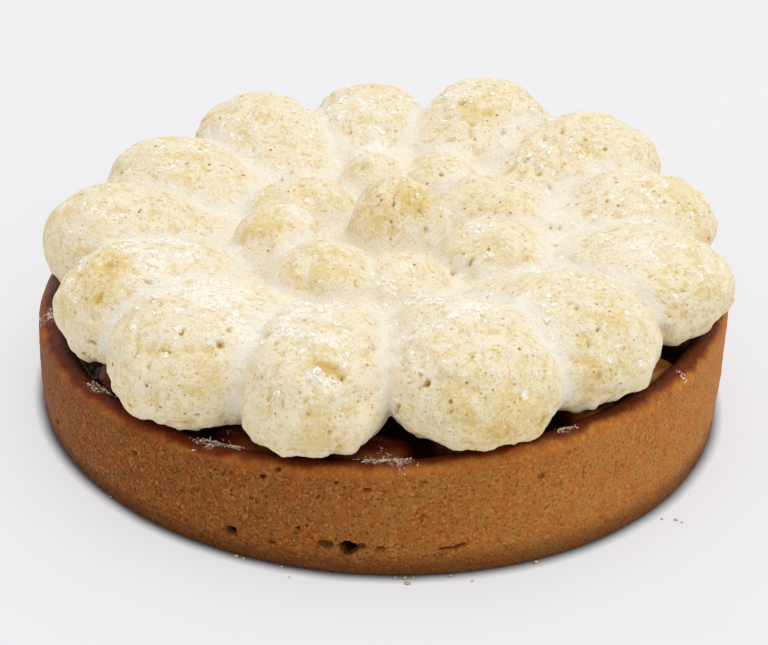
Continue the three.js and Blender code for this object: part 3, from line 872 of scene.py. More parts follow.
def mark_depth(points):
    """Depth of the baking marks: elliptic pits lying along the surface round their centres."""
    depth = np.zeros(len(points))
    for azimuth, distance, height, half_length, half_width, turn, deepest in TOPPING_MARKS:
        angle = math.radians(azimuth)
        offset = points - np.array(polar(distance, angle, height))
        level = offset[:, 1] * math.cos(angle) - offset[:, 0] * math.sin(angle)
        radial = offset[:, 0] * math.cos(angle) + offset[:, 1] * math.sin(angle)
        steep = np.sign(offset[:, 2] - radial) * np.hypot(offset[:, 2], radial)
        lean = math.radians(turn)
        along = (level * math.cos(lean) + steep * math.sin(lean)) / half_length
        across = (steep * math.cos(lean) - level * math.sin(lean)) / half_width
        near = 1.0 - along**2 - across**2
        depth = np.maximum(depth, deepest * smooth_step(0.0, MARK_SIDES, near))
    return depth


def stands_out(points, normals, reach):
    """How far points of the disc grid stand out from the mean of their neighbours, along normals.

    The mean is taken over a square of grid steps by differences of running sums.
    """
    size = TOPPING_STEPS + 1
    padded = np.pad(points.reshape(size, size, 3), ((reach + 1, reach),) * 2 + ((0, 0),), "edge")
    sums = np.cumsum(np.cumsum(padded, 0), 1)
    width = 2 * reach + 1
    block = sums[width:, width:] - sums[:-width, width:]
    block = block - sums[width:, :-width] + sums[:-width, :-width]
    mean = (block / width**2).reshape(-1, 3)
    return np.sum((points - mean) * normals, -1)


# Heights above the rest level, in millimetres: where the relief starts, and where the ragged skirt
# starts and is full. The skirt's noise is drawn out along Z, and the skirt is tucked in a little.
RELIEF_ABOVE_REST = (0.0, 0.5)
SKIRT_LEVELS = (5.5, 0.6)
SKIRT_SQUASH = (1.0, 1.0, 0.6)
SKIRT_TUCK = 0.1

# Standing out from the neighbours: reach in grid steps, and the range in millimetres that is taken
# from 0 to 1, of the base form's swellings and of the finished skin's dips, which get painted
# shade.
SWELL_REACH = 9
SWELL_RANGE = (-0.5, 0.7)
DIP_SHADE_REACH = 2
DIP_SHADE_RANGE = (0.0, -0.12)

# Where the crowns' colour starts above the rest level and over what height it comes in, how dark
# pores and marks look for their depth, partly browning and partly painted shade, and the ring
# halfway in along the underside.
CROWN_STARTS = 3.0
CROWN_RISE = 10.0
PORE_BROWN_AND_SHADE = 1.1
MARK_BROWN_AND_SHADE = 0.95
HALFWAY_IN = (0.5, 0.5, 1.0)


def topping_surface():
    """Topping with its baked skin: the base form moved along its normals.

    The move is layered noise of batter and crumb size and low plates of crackled skin, less
    pores and baking marks. Near the bottom edge a finer noise makes the ragged skirt. The
    underside stays smooth. The points hold their height as a crown, the depth of pores for their
    browning and painted shade, how far they swell out, how far they dip in for painted shade, the
    toasting and the icing sugar's cover.
    """
    base = topping_skin()
    grid = grid_faces(TOPPING_STEPS)
    normals = vertex_normals(base, grid)
    level = base[:, 2] - rest_level(base[:, 0], base[:, 1])
    rags = relief(base * SKIRT_SQUASH, *SKIRT_RAGS) - SKIRT_TUCK
    pore = pits(base, *BISCUIT_PORES)
    marks = mark_depth(base)
    move = relief(base, *BATTER_SWELL) + crackle(base, *SKIN_PLATES)
    move += relief(base, *BISCUIT_CRUMB) + smooth_step(*SKIRT_LEVELS, level) * rags
    move -= BISCUIT_PORE_DEPTH * pore + marks
    points = base + normals * (smooth_step(*RELIEF_ABOVE_REST, level) * move)[:, None]
    attributes = {
        "crown": np.clip((level - CROWN_STARTS) / CROWN_RISE, 0.0, 1.0),
        "pore": np.clip(PORE_BROWN_AND_SHADE * pore + MARK_BROWN_AND_SHADE * marks, 0.0, 1.0),
        "swell": smooth_step(*SWELL_RANGE, stands_out(base, normals, SWELL_REACH)),
        "dip": smooth_step(*DIP_SHADE_RANGE, stands_out(points, normals, DIP_SHADE_REACH)),
        "toast": near_spots(base, TOASTED_SPOTS),
        "dust": dust_cover(points, normals),
    }
    border = border_of(TOPPING_STEPS)
    inner_ring = base[border] * HALFWAY_IN
    inner_ring[:, 2] = rest_level(inner_ring[:, 0], inner_ring[:, 1])
    tip = np.array([[0.0, 0.0, float(rest_level(0.0, 0.0))]])
    start = len(points)
    inner = start + np.arange(len(border))
    under = np.stack([border, inner, np.roll(inner, -1), np.roll(border, -1)], -1)
    fan = fan_faces(inner, start + len(border), False)
    for label, values in attributes.items():
        attributes[label] = np.append(values, np.zeros(len(border) + 1))
    return np.concatenate([points, inner_ring, tip]), [grid, under, fan], attributes


# Where the sieve dropped most sugar: azimuth, distance, height, spread, weight.
DUST_SPOTS = (
    (-135.8, 40.3, 29.3, 2.6, 1.9), (-133.9, 37.4, 29.9, 2.6, 1.9),
    (-130.1, 34.4, 29.9, 2.6, 1.9), (-125.9, 31.3, 28.6, 2.6, 1.7),
    (-158.9, 42.4, 28.2, 2.6, 1.9), (-161.0, 37.5, 28.6, 2.6, 1.9),
    (-162.0, 33.0, 28.2, 2.6, 1.6), (-119.8, 38.4, 29.3, 2.4, 1.7),
    (-149.7, 33.3, 29.0, 2.4, 1.6), (-157.0, 38.0, 29.2, 5.0, 1.3),
    (-158.2, 31.2, 28.2, 4.0, 1.0), (-151.9, 36.8, 29.2, 4.0, 1.3),
    (-130.3, 37.2, 30.0, 5.0, 1.5), (-131.7, 41.5, 29.6, 3.5, 1.2),
    (-125.0, 35.0, 29.0, 4.5, 1.2), (-107.4, 37.5, 31.3, 5.0, 1.1),
    (-113.1, 39.0, 29.2, 4.0, 1.2), (-100.0, 42.5, 31.0, 3.0, 0.7),
    (-100.3, 47.9, 29.1, 1.1, 1.2), (-97.8, 48.2, 28.4, 1.5, 1.3), (-83.0, 47.0, 27.3, 0.9, 1.2),
    (-77.0, 30.5, 31.1, 4.0, 0.8), (-72.2, 35.0, 32.6, 4.0, 0.8), (-84.0, 38.0, 30.5, 3.0, 0.6),
    (-55.0, 34.0, 31.5, 4.0, 0.5), (-28.0, 28.0, 28.0, 3.5, 0.4), (-18.3, 37.6, 31.3, 5.0, 0.5),
    (12.6, 35.0, 30.0, 5.5, 0.6), (41.9, 32.1, 30.0, 3.5, 0.6), (74.1, 36.5, 31.3, 4.0, 0.5),
    (97.9, 34.5, 28.5, 5.0, 0.8), (95.5, 27.5, 25.6, 2.5, 1.2), (126.0, 34.8, 28.0, 4.5, 0.5),
    (150.8, 38.5, 27.8, 4.0, 0.4), (-177.9, 42.0, 27.8, 4.0, 0.4), (-158.8, 14.0, 30.5, 3.0, 0.9),
    (-86.2, 17.7, 27.6, 3.5, 0.8), (-30.8, 15.6, 29.7, 3.5, 0.7),
)


def dust_cover(points, normals):
    """Icing sugar's cover, 0 to 1: a thin fall on what faces up, thicker round the spots."""
    patches = smooth_step(*PATCH_RANGE, 0.5 + relief(points, *SUGAR_PATCHES))
    up = smooth_step(*FACING_UP, normals[:, 2])
    fall = THIN_FALL + THICK_FALL * near_spots(points, DUST_SPOTS)
    return np.clip(fall * patches * np.maximum(up, LEAST_FACING), 0.0, 1.0)


# ---------------------------------------------------------------- sugar and crumbs

# Sugar grains: azimuth, distance from the middle, spread, count.
GRAIN_CLUSTERS = (
    (-170.5, 47.9, 1.3, 100), (-144.3, 46.9, 1.1, 120), (-117.9, 46.7, 1.3, 200),
    (-113.5, 46.3, 0.7, 180), (-90.3, 46.2, 1.0, 220), (-87.0, 46.6, 1.2, 100),
    (-59.7, 46.8, 0.9, 45), (-32.7, 47.4, 0.9, 25), (-8.0, 47.4, 0.9, 30), (27.0, 47.6, 1.2, 50),
    (75.0, 47.6, 1.2, 60), (108.0, 47.4, 1.2, 60), (134.0, 47.6, 1.3, 60), (160.0, 47.8, 1.2, 50),
)

# Crumbs on the table and against the foot: x, y, radius.
TABLE_CRUMBS = (
    (4.2, -50.1, 0.3), (12.7, -48.9, 0.14), (40.6, -32.4, 0.22), (38.7, -32.3, 0.2),
    (41.4, -33.0, 0.16), (-11.2, -49.9, 0.12), (-18.4, -45.7, 0.3), (-17.4, -46.2, 0.22),
    (-12.3, -47.6, 0.2), (-6.0, -48.8, 0.16), (2.6, -49.1, 0.26), (3.9, -49.0, 0.3),
    (5.0, -48.9, 0.2), (9.9, -48.0, 0.28), (21.2, -44.0, 0.3), (-36.4, -33.0, 0.2),
    (-49.9, 2.0, 0.22), (-41.0, 29.5, 0.26), (20.1, 45.8, 0.28), (37.0, 33.2, 0.2),
)

# Flecks: seed, how many share a spot, least weight of a spot, smallest radius and what a large one
# adds, spread round the spot, and thickness as shares of the radius.
FLECK_SEED = 7
FLECKS_IN_A_SPOT = 9
LEAST_WEIGHT = 0.08
FLECK_RADIUS = 0.11
FLECK_GROWTH = 0.15
FLECK_SPREAD = 0.2
FLECK_FLATNESS = (0.35, 0.7)

# Grains: seed, how many share a clump, the clumps' spread on X and Y as shares of the cluster's,
# spread round the clump, least size, how high they sit, and thickness as shares of the radius.
GRAIN_SEED = 11
GRAINS_IN_A_CLUMP = 5
CLUMP_SPREAD = (1.0, 0.8)
GRAIN_SPREAD = 0.34
GRAIN_LEAST = 0.55
GRAIN_LIFT = 0.25
GRAIN_FLATNESS = (0.6, 1.0)

# Ground that holds grains: least distance from the axis, least height, least Z of its normal, and
# how far off its nearest point may be.
GROUND_FROM_AXIS = 40.0
GROUND_LEVEL = 9.0
GROUND_FACING = 0.15
FARTHEST_STEP = 0.3

# Crumbs: seed, height of the middle and thickness as shares of the radius.
CRUMB_SEED = 13
CRUMB_LIFT = 0.4
CRUMB_FLATNESS = 0.45


def along_skin(normals, spread, draw):
    """Random shifts along a surface: normal draws of a spread, less their part on the normal."""
    shift = draw.normal(0.0, spread, (len(normals), 3))
    return shift - normals * np.sum(shift * normals, -1, keepdims=True)


def sugar_flecks(count):
    """Flecks of icing sugar on the topping, in scaly spots that are thickest where dust fell.

    Spots are drawn on the skin with the dust's chance. Each fleck is set off its spot by a
    normal draw along the skin, so that a spot is about 0.6 mm wide, and pressed flat.
    """
    draw = np.random.default_rng(FLECK_SEED)
    points, normals = surface_of("topping_skin")
    chance = attribute_of("topping_skin", "dust")
    spots = draw.choice(len(points), count // FLECKS_IN_A_SPOT, p=chance / chance.sum())
    share = draw.random(len(spots)) ** 2 + LEAST_WEIGHT
    chosen = spots[draw.choice(len(spots), count, p=share / share.sum())]
    radii = FLECK_RADIUS + FLECK_GROWTH * draw.random(count) ** 2
    centres = points[chosen] + along_skin(normals[chosen], FLECK_SPREAD, draw)
    flatness = draw.uniform(*FLECK_FLATNESS, count)
    return grain_cloud(centres, normals[chosen], radii, flatness, draw)


def sugar_grains(size):
    """Grains of sugar on the rim and the filling, in clumps by the nearest point facing up.

    Each grain is set off its clump's point by a normal draw along the surface. Places over the
    steep inner wall, with no such point close by, stay bare.
    """
    draw = np.random.default_rng(GRAIN_SEED)
    places = []
    for azimuth, distance, spread, count in GRAIN_CLUSTERS:
        centre = polar(distance, math.radians(azimuth), 0.0)[:2]
        clumps = draw.normal(0.0, spread, (count // GRAINS_IN_A_CLUMP, 2)) * CLUMP_SPREAD
        places.append(centre + np.repeat(clumps, GRAINS_IN_A_CLUMP, 0))
    places = np.concatenate(places)
    surfaces = [surface_of(name) for name in ("shortcrust_shell", "caramel_apple")]
    ground, normals = (np.concatenate(parts) for parts in zip(*surfaces))
    held = np.hypot(ground[:, 0], ground[:, 1]) > GROUND_FROM_AXIS
    held &= (normals[:, 2] > GROUND_FACING) & (ground[:, 2] > GROUND_LEVEL)
    ground, normals = ground[held], normals[held]
    gaps = np.sum((places[:, None] - ground[None, :, :2]) ** 2, -1)
    nearest = np.argmin(gaps, -1)[np.min(gaps, -1) < FARTHEST_STEP**2]
    ground, normals = ground[nearest], normals[nearest]
    radii = size * (GRAIN_LEAST + draw.random(len(nearest)) ** 2)
    shift = along_skin(normals, GRAIN_SPREAD, draw)
    centres = ground + shift + normals * (radii * GRAIN_LIFT)[:, None]
    flatness = draw.uniform(*GRAIN_FLATNESS, len(nearest))
    return grain_cloud(centres, normals, radii, flatness, draw)


def table_crumbs():
    """Crumbs round the foot: flat rough lumps that rest on the table."""
    draw = np.random.default_rng(CRUMB_SEED)
    spots = np.array(TABLE_CRUMBS)
    centres = np.column_stack([spots[:, :2], spots[:, 2] * CRUMB_LIFT])
    up = np.tile([0.0, 0.0, 1.0], (len(spots), 1))
    flatness = np.full(len(spots), CRUMB_FLATNESS)
    points, faces, attributes = grain_cloud(centres, up, spots[:, 2], flatness, draw)
    points[:, 2] = np.maximum(points[:, 2], 0.0)
    return points, faces, attributes


# ---------------------------------------------------------------- materials


def linear(hex_colour):
    """Linear red, green, blue and alpha of an sRGB hex colour."""
    values = [int(hex_colour[k : k + 2], 16) / 255.0 for k in (1, 3, 5)]
    parts = [v / 12.92 if v <= 0.04045 else ((v + 0.055) / 1.055) ** 2.4 for v in values]
    return (*parts, 1.0)


def feed(tree, node, inputs):
    """Sets each input of a node to a value, or links it to a socket."""
    for key, value in inputs.items():
        if isinstance(value, bpy.types.NodeSocket):
            tree.links.new(value, node.inputs[key])
        else:
            node.inputs[key].default_value = value


def add(tree, kind, inputs, **settings):
    """Adds a node with its settings and feeds its inputs."""
    node = tree.nodes.new(kind)
    for name, value in settings.items():
        setattr(node, name, value)
    feed(tree, node, inputs)
    return node


def new_material(name, looks, labels=()):
    """A material, its node tree and shader, and the sockets that its patterns start from.

    The looks are set on the shader's own sockets. The patterns' sockets are object coordinates
    and, by label, the values that the mesh holds at its points.
    """
    material = bpy.data.materials.new(name)
    material.use_nodes = True
    tree = material.node_tree
    shader = tree.nodes["Principled BSDF"]
    feed(tree, shader, looks)
    sockets = {"place": add(tree, "ShaderNodeTexCoord", {}).outputs["Object"]}
    for label in labels:
        node = add(tree, "ShaderNodeAttribute", {}, attribute_name=label)
        sockets[label] = node.outputs["Fac"]
    return material, tree, shader, sockets


# Sockets of the colour mixing node.
MIX_A = 6
MIX_B = 7
MIX_RESULT = 2


def lay(tree, below, above, pattern, low, high, most=1.0):
    """Socket of a colour laid over another, from none at a pattern's low value to most at high."""
    shares = {"Value": pattern, "From Min": low, "From Max": high, "To Min": 0.0, "To Max": most}
    share = add(tree, "ShaderNodeMapRange", shares, interpolation_type="SMOOTHSTEP")
    inputs = {0: share.outputs["Result"], MIX_A: below, MIX_B: above}
    return add(tree, "ShaderNodeMix", inputs, data_type="RGBA").outputs[MIX_RESULT]


def mottle(tree, place, below, above, length, low, high, most, detail, rough):
    """Socket of a colour laid over another in lumps about a length in millimetres.

    The other values are the noise's levels where it starts and is full, the most cover, and
    the noise's own detail and roughness.
    """
    inputs = {"Vector": place, "Scale": 1.0 / (length * MM), "Detail": detail, "Roughness": rough}
    lump = add(tree, "ShaderNodeTexNoise", inputs).outputs["Fac"]
    return lay(tree, below, above, lump, low, high, most)


def lay_all(tree, colour, tones, sockets, layers):
    """Lays tones on a colour in the layers' order.

    A layer is a tone's name, its pattern, the pattern's levels where the tone starts and where
    it is full, and the most cover. The pattern is the name of a socket, or lumps of a length in
    millimetres with a noise's detail and roughness.
    """
    for tone, pattern, low, high, most in layers:
        if pattern in sockets:
            colour = lay(tree, colour, tones[tone], sockets[pattern], low, high, most)
            continue
        length, detail, rough = pattern
        levels = (low, high, most, detail, rough)
        colour = mottle(tree, sockets["place"], colour, tones[tone], length, *levels)
    return colour


def tones_of(colours):
    """The user's colours by name."""
    return {name: getattr(colours, name) for name in colours.__annotations__}


# A pore's radius is less by this share of its cell's random number, and it is full within this
# share of the widest radius.
PORE_CHANCE = 0.5
PORE_CORE = 0.4


def open_pores(tree, place, spacing, widest):
    """Socket that is 1 in round pores of many sizes, with one to a cell or none.

    The pore's radius is the widest share of the cell, less a part of the cell's own random
    number: value = distance + part x chance, and a pore is where the value is below the widest.
    """
    cells = add(tree, "ShaderNodeTexVoronoi", {"Vector": place, "Scale": 1.0 / (spacing * MM)})
    chance = add(tree, "ShaderNodeSeparateColor", {0: cells.outputs["Color"]}).outputs[0]
    inputs = {0: chance, 1: PORE_CHANCE, 2: cells.outputs["Distance"]}
    value = add(tree, "ShaderNodeMath", inputs, operation="MULTIPLY_ADD").outputs[0]
    ranges = {"Value": value, "From Min": widest, "From Max": widest * PORE_CORE}
    return add(tree, "ShaderNodeMapRange", ranges, interpolation_type="SMOOTHSTEP").outputs[0]


def roughen(tree, shader, place, length, depth, pores=None, pore_depth=0.0):
    """Bumps the surface by a noise of a length and a depth in millimetres, and dents its pores."""
    inputs = {"Vector": place, "Scale": 1.0 / (length * MM), "Detail": 3.0, "Roughness": 0.65}
    noise = add(tree, "ShaderNodeTexNoise", inputs).outputs["Fac"]
    bump = add(tree, "ShaderNodeBump", {"Height": noise, "Distance": depth * MM}).outputs[0]
    if pores is not None:
        inputs = {"Height": pores, "Distance": pore_depth * MM, "Normal": bump}
        bump = add(tree, "ShaderNodeBump", inputs, invert=True).outputs[0]
    feed(tree, shader, {"Normal": bump})


# Tones of the shell: name, colour of the darker side and colour of the lighter side. The one turns
# into the other between two places on X, in millimetres.
SHELL_TONES = (
    ("plain", "crust_brown", "crust_tan"),
    ("warm", "crust_red", "crust_orange"),
    ("speck", "crust_dark", "crust_red"),
    ("glint", "crust_tan", "crust_sand"),
    ("rim", "crust_rim", "crust_orange"),
)
SHELL_SIDES = (-29.0, 46.0)

# Layers of the shell's colour. The dough's last two are sand grains of 0.4 mm, pale where fat
# fried them and dark where they are hollow.
SANDY_DOUGH = (
    ("warm", (3.2, 6.0, 0.78), 0.4, 0.6, 0.9),
    ("glint", (1.6, 6.0, 0.8), 0.5, 0.7, 0.6),
    ("speck", (1.1, 6.0, 0.8), 0.48, 0.3, 0.85),
    ("glint", (0.44, 2.0, 0.6), 0.54, 0.68, 0.75),
    ("speck", (0.4, 2.0, 0.6), 0.46, 0.32, 0.85),
)
BAKED_RIM = (
    ("glint", (0.6, 4.0, 0.7), 0.42, 0.66, 0.8),
    ("crust_red", (1.3, 5.0, 0.75), 0.5, 0.32, 0.7),
)
RIM_SYRUP = (
    ("crust_orange", (0.45, 3.0, 0.6), 0.58, 0.74, 0.45),
    ("caramel_dark", "inwards", 0.35, 0.8, 0.9),
)
FOOT_AND_RIM = (
    ("streaked", "rise", 0.5, 0.15, 1.0),
    # The foot darkens towards the table, partly its own darker bake and partly painted shade.
    ("crust_foot_and_shade", "rise", 0.27, 0.04, 0.7),
    ("rim", "rise", 0.89, 0.96, 0.7),
    ("syrup", "soaked", 0.0, 1.0, 0.94),
)
SPILT_POWDER = (("sugar_grain", (0.7, 5.0, 0.75), 0.46, 0.62, 0.75),)
POWDER_AND_HOLES = (
    ("powdered", "spilt", 0.2, 0.8, 1.0),
    # Painted shade in pits and burst bubbles, near-black in the deepest.
    ("crust_pit_shade", "hole_shade", 0.08, 0.3, 0.75),
    ("crust_hollow_shade", "hole_shade", 0.42, 0.8, 0.95),
)

# Streaks of the foot: how much their noise is squashed on X, Y and Z, then the rest as a mottle
# takes it.
STREAK_SQUASH = (1.0, 1.0, 5.0)
FOOT_STREAKS = (2.6, 0.5, 0.25, 0.5, 5.0, 0.7)
CRUST_ROUGHNESS = 0.62
SYRUP_ROUGHNESS = 0.25

# Grit of each surface: length and depth of its bumps in millimetres, and how deep its pores dent.
SHELL_GRIT = (0.45, 0.24)
BISCUIT_GRIT = (0.5, 0.3)
BISCUIT_DENT = 0.04
APPLE_GRIT = (1.1, 0.3)


def baked_shortcrust(colours):
    """Shortcrust pastry, pressed and baked: sandy, mottled brown, with painted shade in its pits
    and holes, and darkest at the foot, partly by painted shade.

    Towards -X it is darker and towards +X lighter. Just under the ridge the pastry is orange.
    Syrup from the filling has soaked into the rim's top, which is dark and shines.
    """
    labels = ("rise", "hole_shade", "soaked", "inwards", "spilt")
    looks = {"Specular IOR Level": 0.08}
    material, tree, shader, sockets = new_material("baked_shortcrust", looks, labels)
    place = sockets["place"]
    tones = tones_of(colours)
    across = add(tree, "ShaderNodeSeparateXYZ", {0: place}).outputs["X"]
    start, end = SHELL_SIDES
    for name, dark, light in SHELL_TONES:
        tones[name] = lay(tree, tones[dark], tones[light], across, start * MM, end * MM)
    colour = lay_all(tree, tones["plain"], tones, sockets, SANDY_DOUGH)
    flat = add(tree, "ShaderNodeVectorMath", {0: place, 1: STREAK_SQUASH}, operation="MULTIPLY")
    tones["streaked"] = mottle(tree, flat.outputs[0], colour, tones["crust_foot_and_shade"], *FOOT_STREAKS)
    tones["rim"] = lay_all(tree, tones["rim"], tones, sockets, BAKED_RIM)
    tones["syrup"] = lay_all(tree, tones["caramel_red"], tones, sockets, RIM_SYRUP)
    colour = lay_all(tree, colour, tones, sockets, FOOT_AND_RIM)
    tones["powdered"] = lay_all(tree, colour, tones, sockets, SPILT_POWDER)
    colour = lay_all(tree, colour, tones, sockets, POWDER_AND_HOLES)
    inputs = {"Value": sockets["soaked"], "To Min": CRUST_ROUGHNESS, "To Max": SYRUP_ROUGHNESS}
    gloss = add(tree, "ShaderNodeMapRange", inputs).outputs[0]
    feed(tree, shader, {"Base Color": colour, "Roughness": gloss})
    roughen(tree, shader, place, *SHELL_GRIT)
    return material


# Toasting is a fine-grained noise (length in millimetres, detail, roughness), which stands out
# more on the toasted spots and on swellings.
TOASTING = (2.7, 7.0, 0.88)
TOAST_SHARES = (("toast", 0.14), ("swell", 0.07))

# Pores, as spacing in millimetres and widest share of a cell.
SMALL_PORES = (0.75, 0.36)
WIDE_PORES = (1.7, 0.26)

# Layers of the topping's colour. The grit is ground almond of 0.3 mm, both darker and paler than
# the crumb round it.
TOASTED_CRUMB = (
    ("biscuit_top", "crown", 0.0, 1.0, 1.0),
    ("biscuit_fold", "swell", 0.6, 0.1, 0.85),
    ("biscuit_gold", "browned", 0.53, 0.69, 0.76),
    ("biscuit_brown", "browned", 0.69, 0.84, 0.8),
    ("biscuit_pale", (0.9, 5.0, 0.8), 0.5, 0.7, 0.8),
)
OPEN_CRUMB = (
    # Painted shade: browner where the skin dips in.
    ("biscuit_brown", "dip", 0.0, 1.0, 0.45),
    ("biscuit_brown", (0.7, 3.0, 0.7), 0.46, 0.3, 0.6),
    # Pores browner, partly by browning and partly by painted shade.
    ("biscuit_pore", "small_pores", 0.0, 1.0, 0.55),
    ("biscuit_pore", "wide_pores", 0.0, 1.0, 0.9),
)
PORES_AND_GRIT = (
    ("open_crumb", "swell", 0.1, 0.45, 1.0),
    # Pores and marks browner by their depth, partly browning and partly painted shade.
    ("biscuit_brown", "pore", 0.2, 0.6, 0.6),
    ("biscuit_pore", "pore", 0.6, 1.0, 0.8),
    ("biscuit_pore", (0.3, 2.0, 0.6), 0.44, 0.28, 0.25),
    ("icing_sugar", (0.32, 2.0, 0.6), 0.58, 0.72, 0.5),
)
SUGAR_POWDER = (
    ("icing_sugar", (0.5, 3.0, 0.6), 0.4, 0.6, 0.8),
    ("icing_sugar", (1.3, 4.0, 0.7), 0.5, 0.6, 0.9),
)
DUSTED = (("powdered", "dust", 0.12, 0.65, 1.0),)


def baked_biscuit(colours):
    """Piped almond biscuit, baked under icing sugar: matt cream, toasted golden in freckles.

    Its crumb is open, so that pores of a quarter to half a millimetre show on all that swells
    out, browner partly by painted shade, and dips in the skin get painted shade. Folds stay pale.
    """
    labels = ("crown", "swell", "toast", "pore", "dip", "dust")
    looks = {
        "Roughness": 0.9,
        "Specular IOR Level": 0.15,
        "Subsurface Weight": 0.12,
        "Subsurface Radius": (1.0, 0.65, 0.35),
        "Subsurface Scale": 0.5 * MM,
    }
    material, tree, shader, sockets = new_material("baked_biscuit", looks, labels)
    place = sockets["place"]
    tones = tones_of(colours)
    length, detail, rough = TOASTING
    inputs = {"Vector": place, "Scale": 1.0 / (length * MM), "Detail": detail, "Roughness": rough}
    browned = add(tree, "ShaderNodeTexNoise", inputs).outputs["Fac"]
    for label, strength in TOAST_SHARES:
        inputs = {0: sockets[label], 1: strength, 2: browned}
        browned = add(tree, "ShaderNodeMath", inputs, operation="MULTIPLY_ADD").outputs[0]
    sockets["browned"] = browned
    sockets["small_pores"] = open_pores(tree, place, *SMALL_PORES)
    sockets["wide_pores"] = open_pores(tree, place, *WIDE_PORES)
    colour = lay_all(tree, colours.biscuit_low, tones, sockets, TOASTED_CRUMB)
    tones["open_crumb"] = lay_all(tree, colour, tones, sockets, OPEN_CRUMB)
    colour = lay_all(tree, colour, tones, sockets, PORES_AND_GRIT)
    tones["powdered"] = lay_all(tree, colour, tones, sockets, SUGAR_POWDER)
    colour = lay_all(tree, colour, tones, sockets, DUSTED)
    feed(tree, shader, {"Base Color": colour})
    roughen(tree, shader, place, *BISCUIT_GRIT, sockets["small_pores"], BISCUIT_DENT)
    return material


# Apple: where along X its flesh turns from amber to pale, the lumps of flesh, and the height of a
# piece, as a share of its dome, at which flesh shows in full through the syrup.
PALER_FROM = (12.0 * MM, 36.0 * MM)
FLESH = (5.0, 0.35, 0.7, 0.9, 1.0, 0.6)
FLESH_SHOWS = 0.6


def caramelised_apple(colours):
    """Apple baked in sugar: near-black syrup with amber flesh showing through, wet and shiny.

    The pieces towards +X are paler.
    """
    looks = {"Roughness": 0.2, "IOR": 1.44, "Specular IOR Level": 0.3}
    material, tree, shader, sockets = new_material("caramelised_apple", looks, ("apple",))
    place = sockets["place"]
    across = add(tree, "ShaderNodeSeparateXYZ", {0: place}).outputs["X"]
    amber = lay(tree, colours.apple_amber, colours.apple_pale, across, *PALER_FROM)
    flesh = mottle(tree, place, colours.caramel_red, amber, *FLESH)
    colour = lay(tree, colours.caramel_dark, flesh, sockets["apple"], 0.0, FLESH_SHOWS)
    feed(tree, shader, {"Base Color": colour})
    roughen(tree, shader, place, *APPLE_GRIT)
    return material


def icing_sugar(colours):
    """Icing sugar sieved on before baking: matt white powder in tiny clumps."""
    return new_material("icing_sugar", {"Base Color": colours.icing_sugar, "Roughness": 0.95})[0]


def crystal_sugar(colours):
    """Sugar grains dried in the oven: white, slightly glassy crystals."""
    looks = {"Base Color": colours.sugar_grain, "Roughness": 0.3, "IOR": 1.54}
    return new_material("crystal_sugar", looks)[0]


def dry_crumb(colours):
    """Crumbs of the pastry's pale inside: matt beige."""
    return new_material("dry_crumb", {"Base Color": colours.crumb, "Roughness": 0.9})[0]


def glowing_table(colours):
    """White table that glows with painted light, so that shadows on it stay faint.

    The glow is dimmed by ambient occlusion where something stands close to the table, which is a
    painted contact shadow.
    """
    looks = {
        "Base Color": colours.table,
        "Roughness": 0.9,
        "Specular IOR Level": 0.0,
        "Emission Color": TABLE_GLOW,
    }
    material, tree, shader, _ = new_material("glowing_table", looks)
    reach = {"Distance": PAINTED_SHADOW_REACH}
    # Painted contact shadow: the glow fades where ambient occlusion finds something within the
    # reach.
    near = add(tree, "ShaderNodeAmbientOcclusion", reach, samples=8).outputs["AO"]
    ranges = {"Value": near, "From Min": 0.5, "To Max": TABLE_GLOW_STRENGTH}
    glow = add(tree, "ShaderNodeMapRange", ranges).outputs[0]
    feed(tree, shader, {"Emission Strength": glow})
    return material


# ---------------------------------------------------------------- what a user may change


def colour_choice(name, hex_colour, description):
    """A colour property whose default is an sRGB hex colour."""
    return bpy.props.FloatVectorProperty(
        name=name,
        description=description,
        subtype="COLOR",
        size=4,
        min=0.0,
        max=1.0,
        default=linear(hex_colour),
    )


def length_choice(name, millimetres, description):
    """A length property whose default is given in millimetres."""
    return bpy.props.FloatProperty(
        name=name,
        description=description,
        unit="LENGTH",
        subtype="DISTANCE",
        min=0.0,
        precision=5,
        default=millimetres * MM,
    )


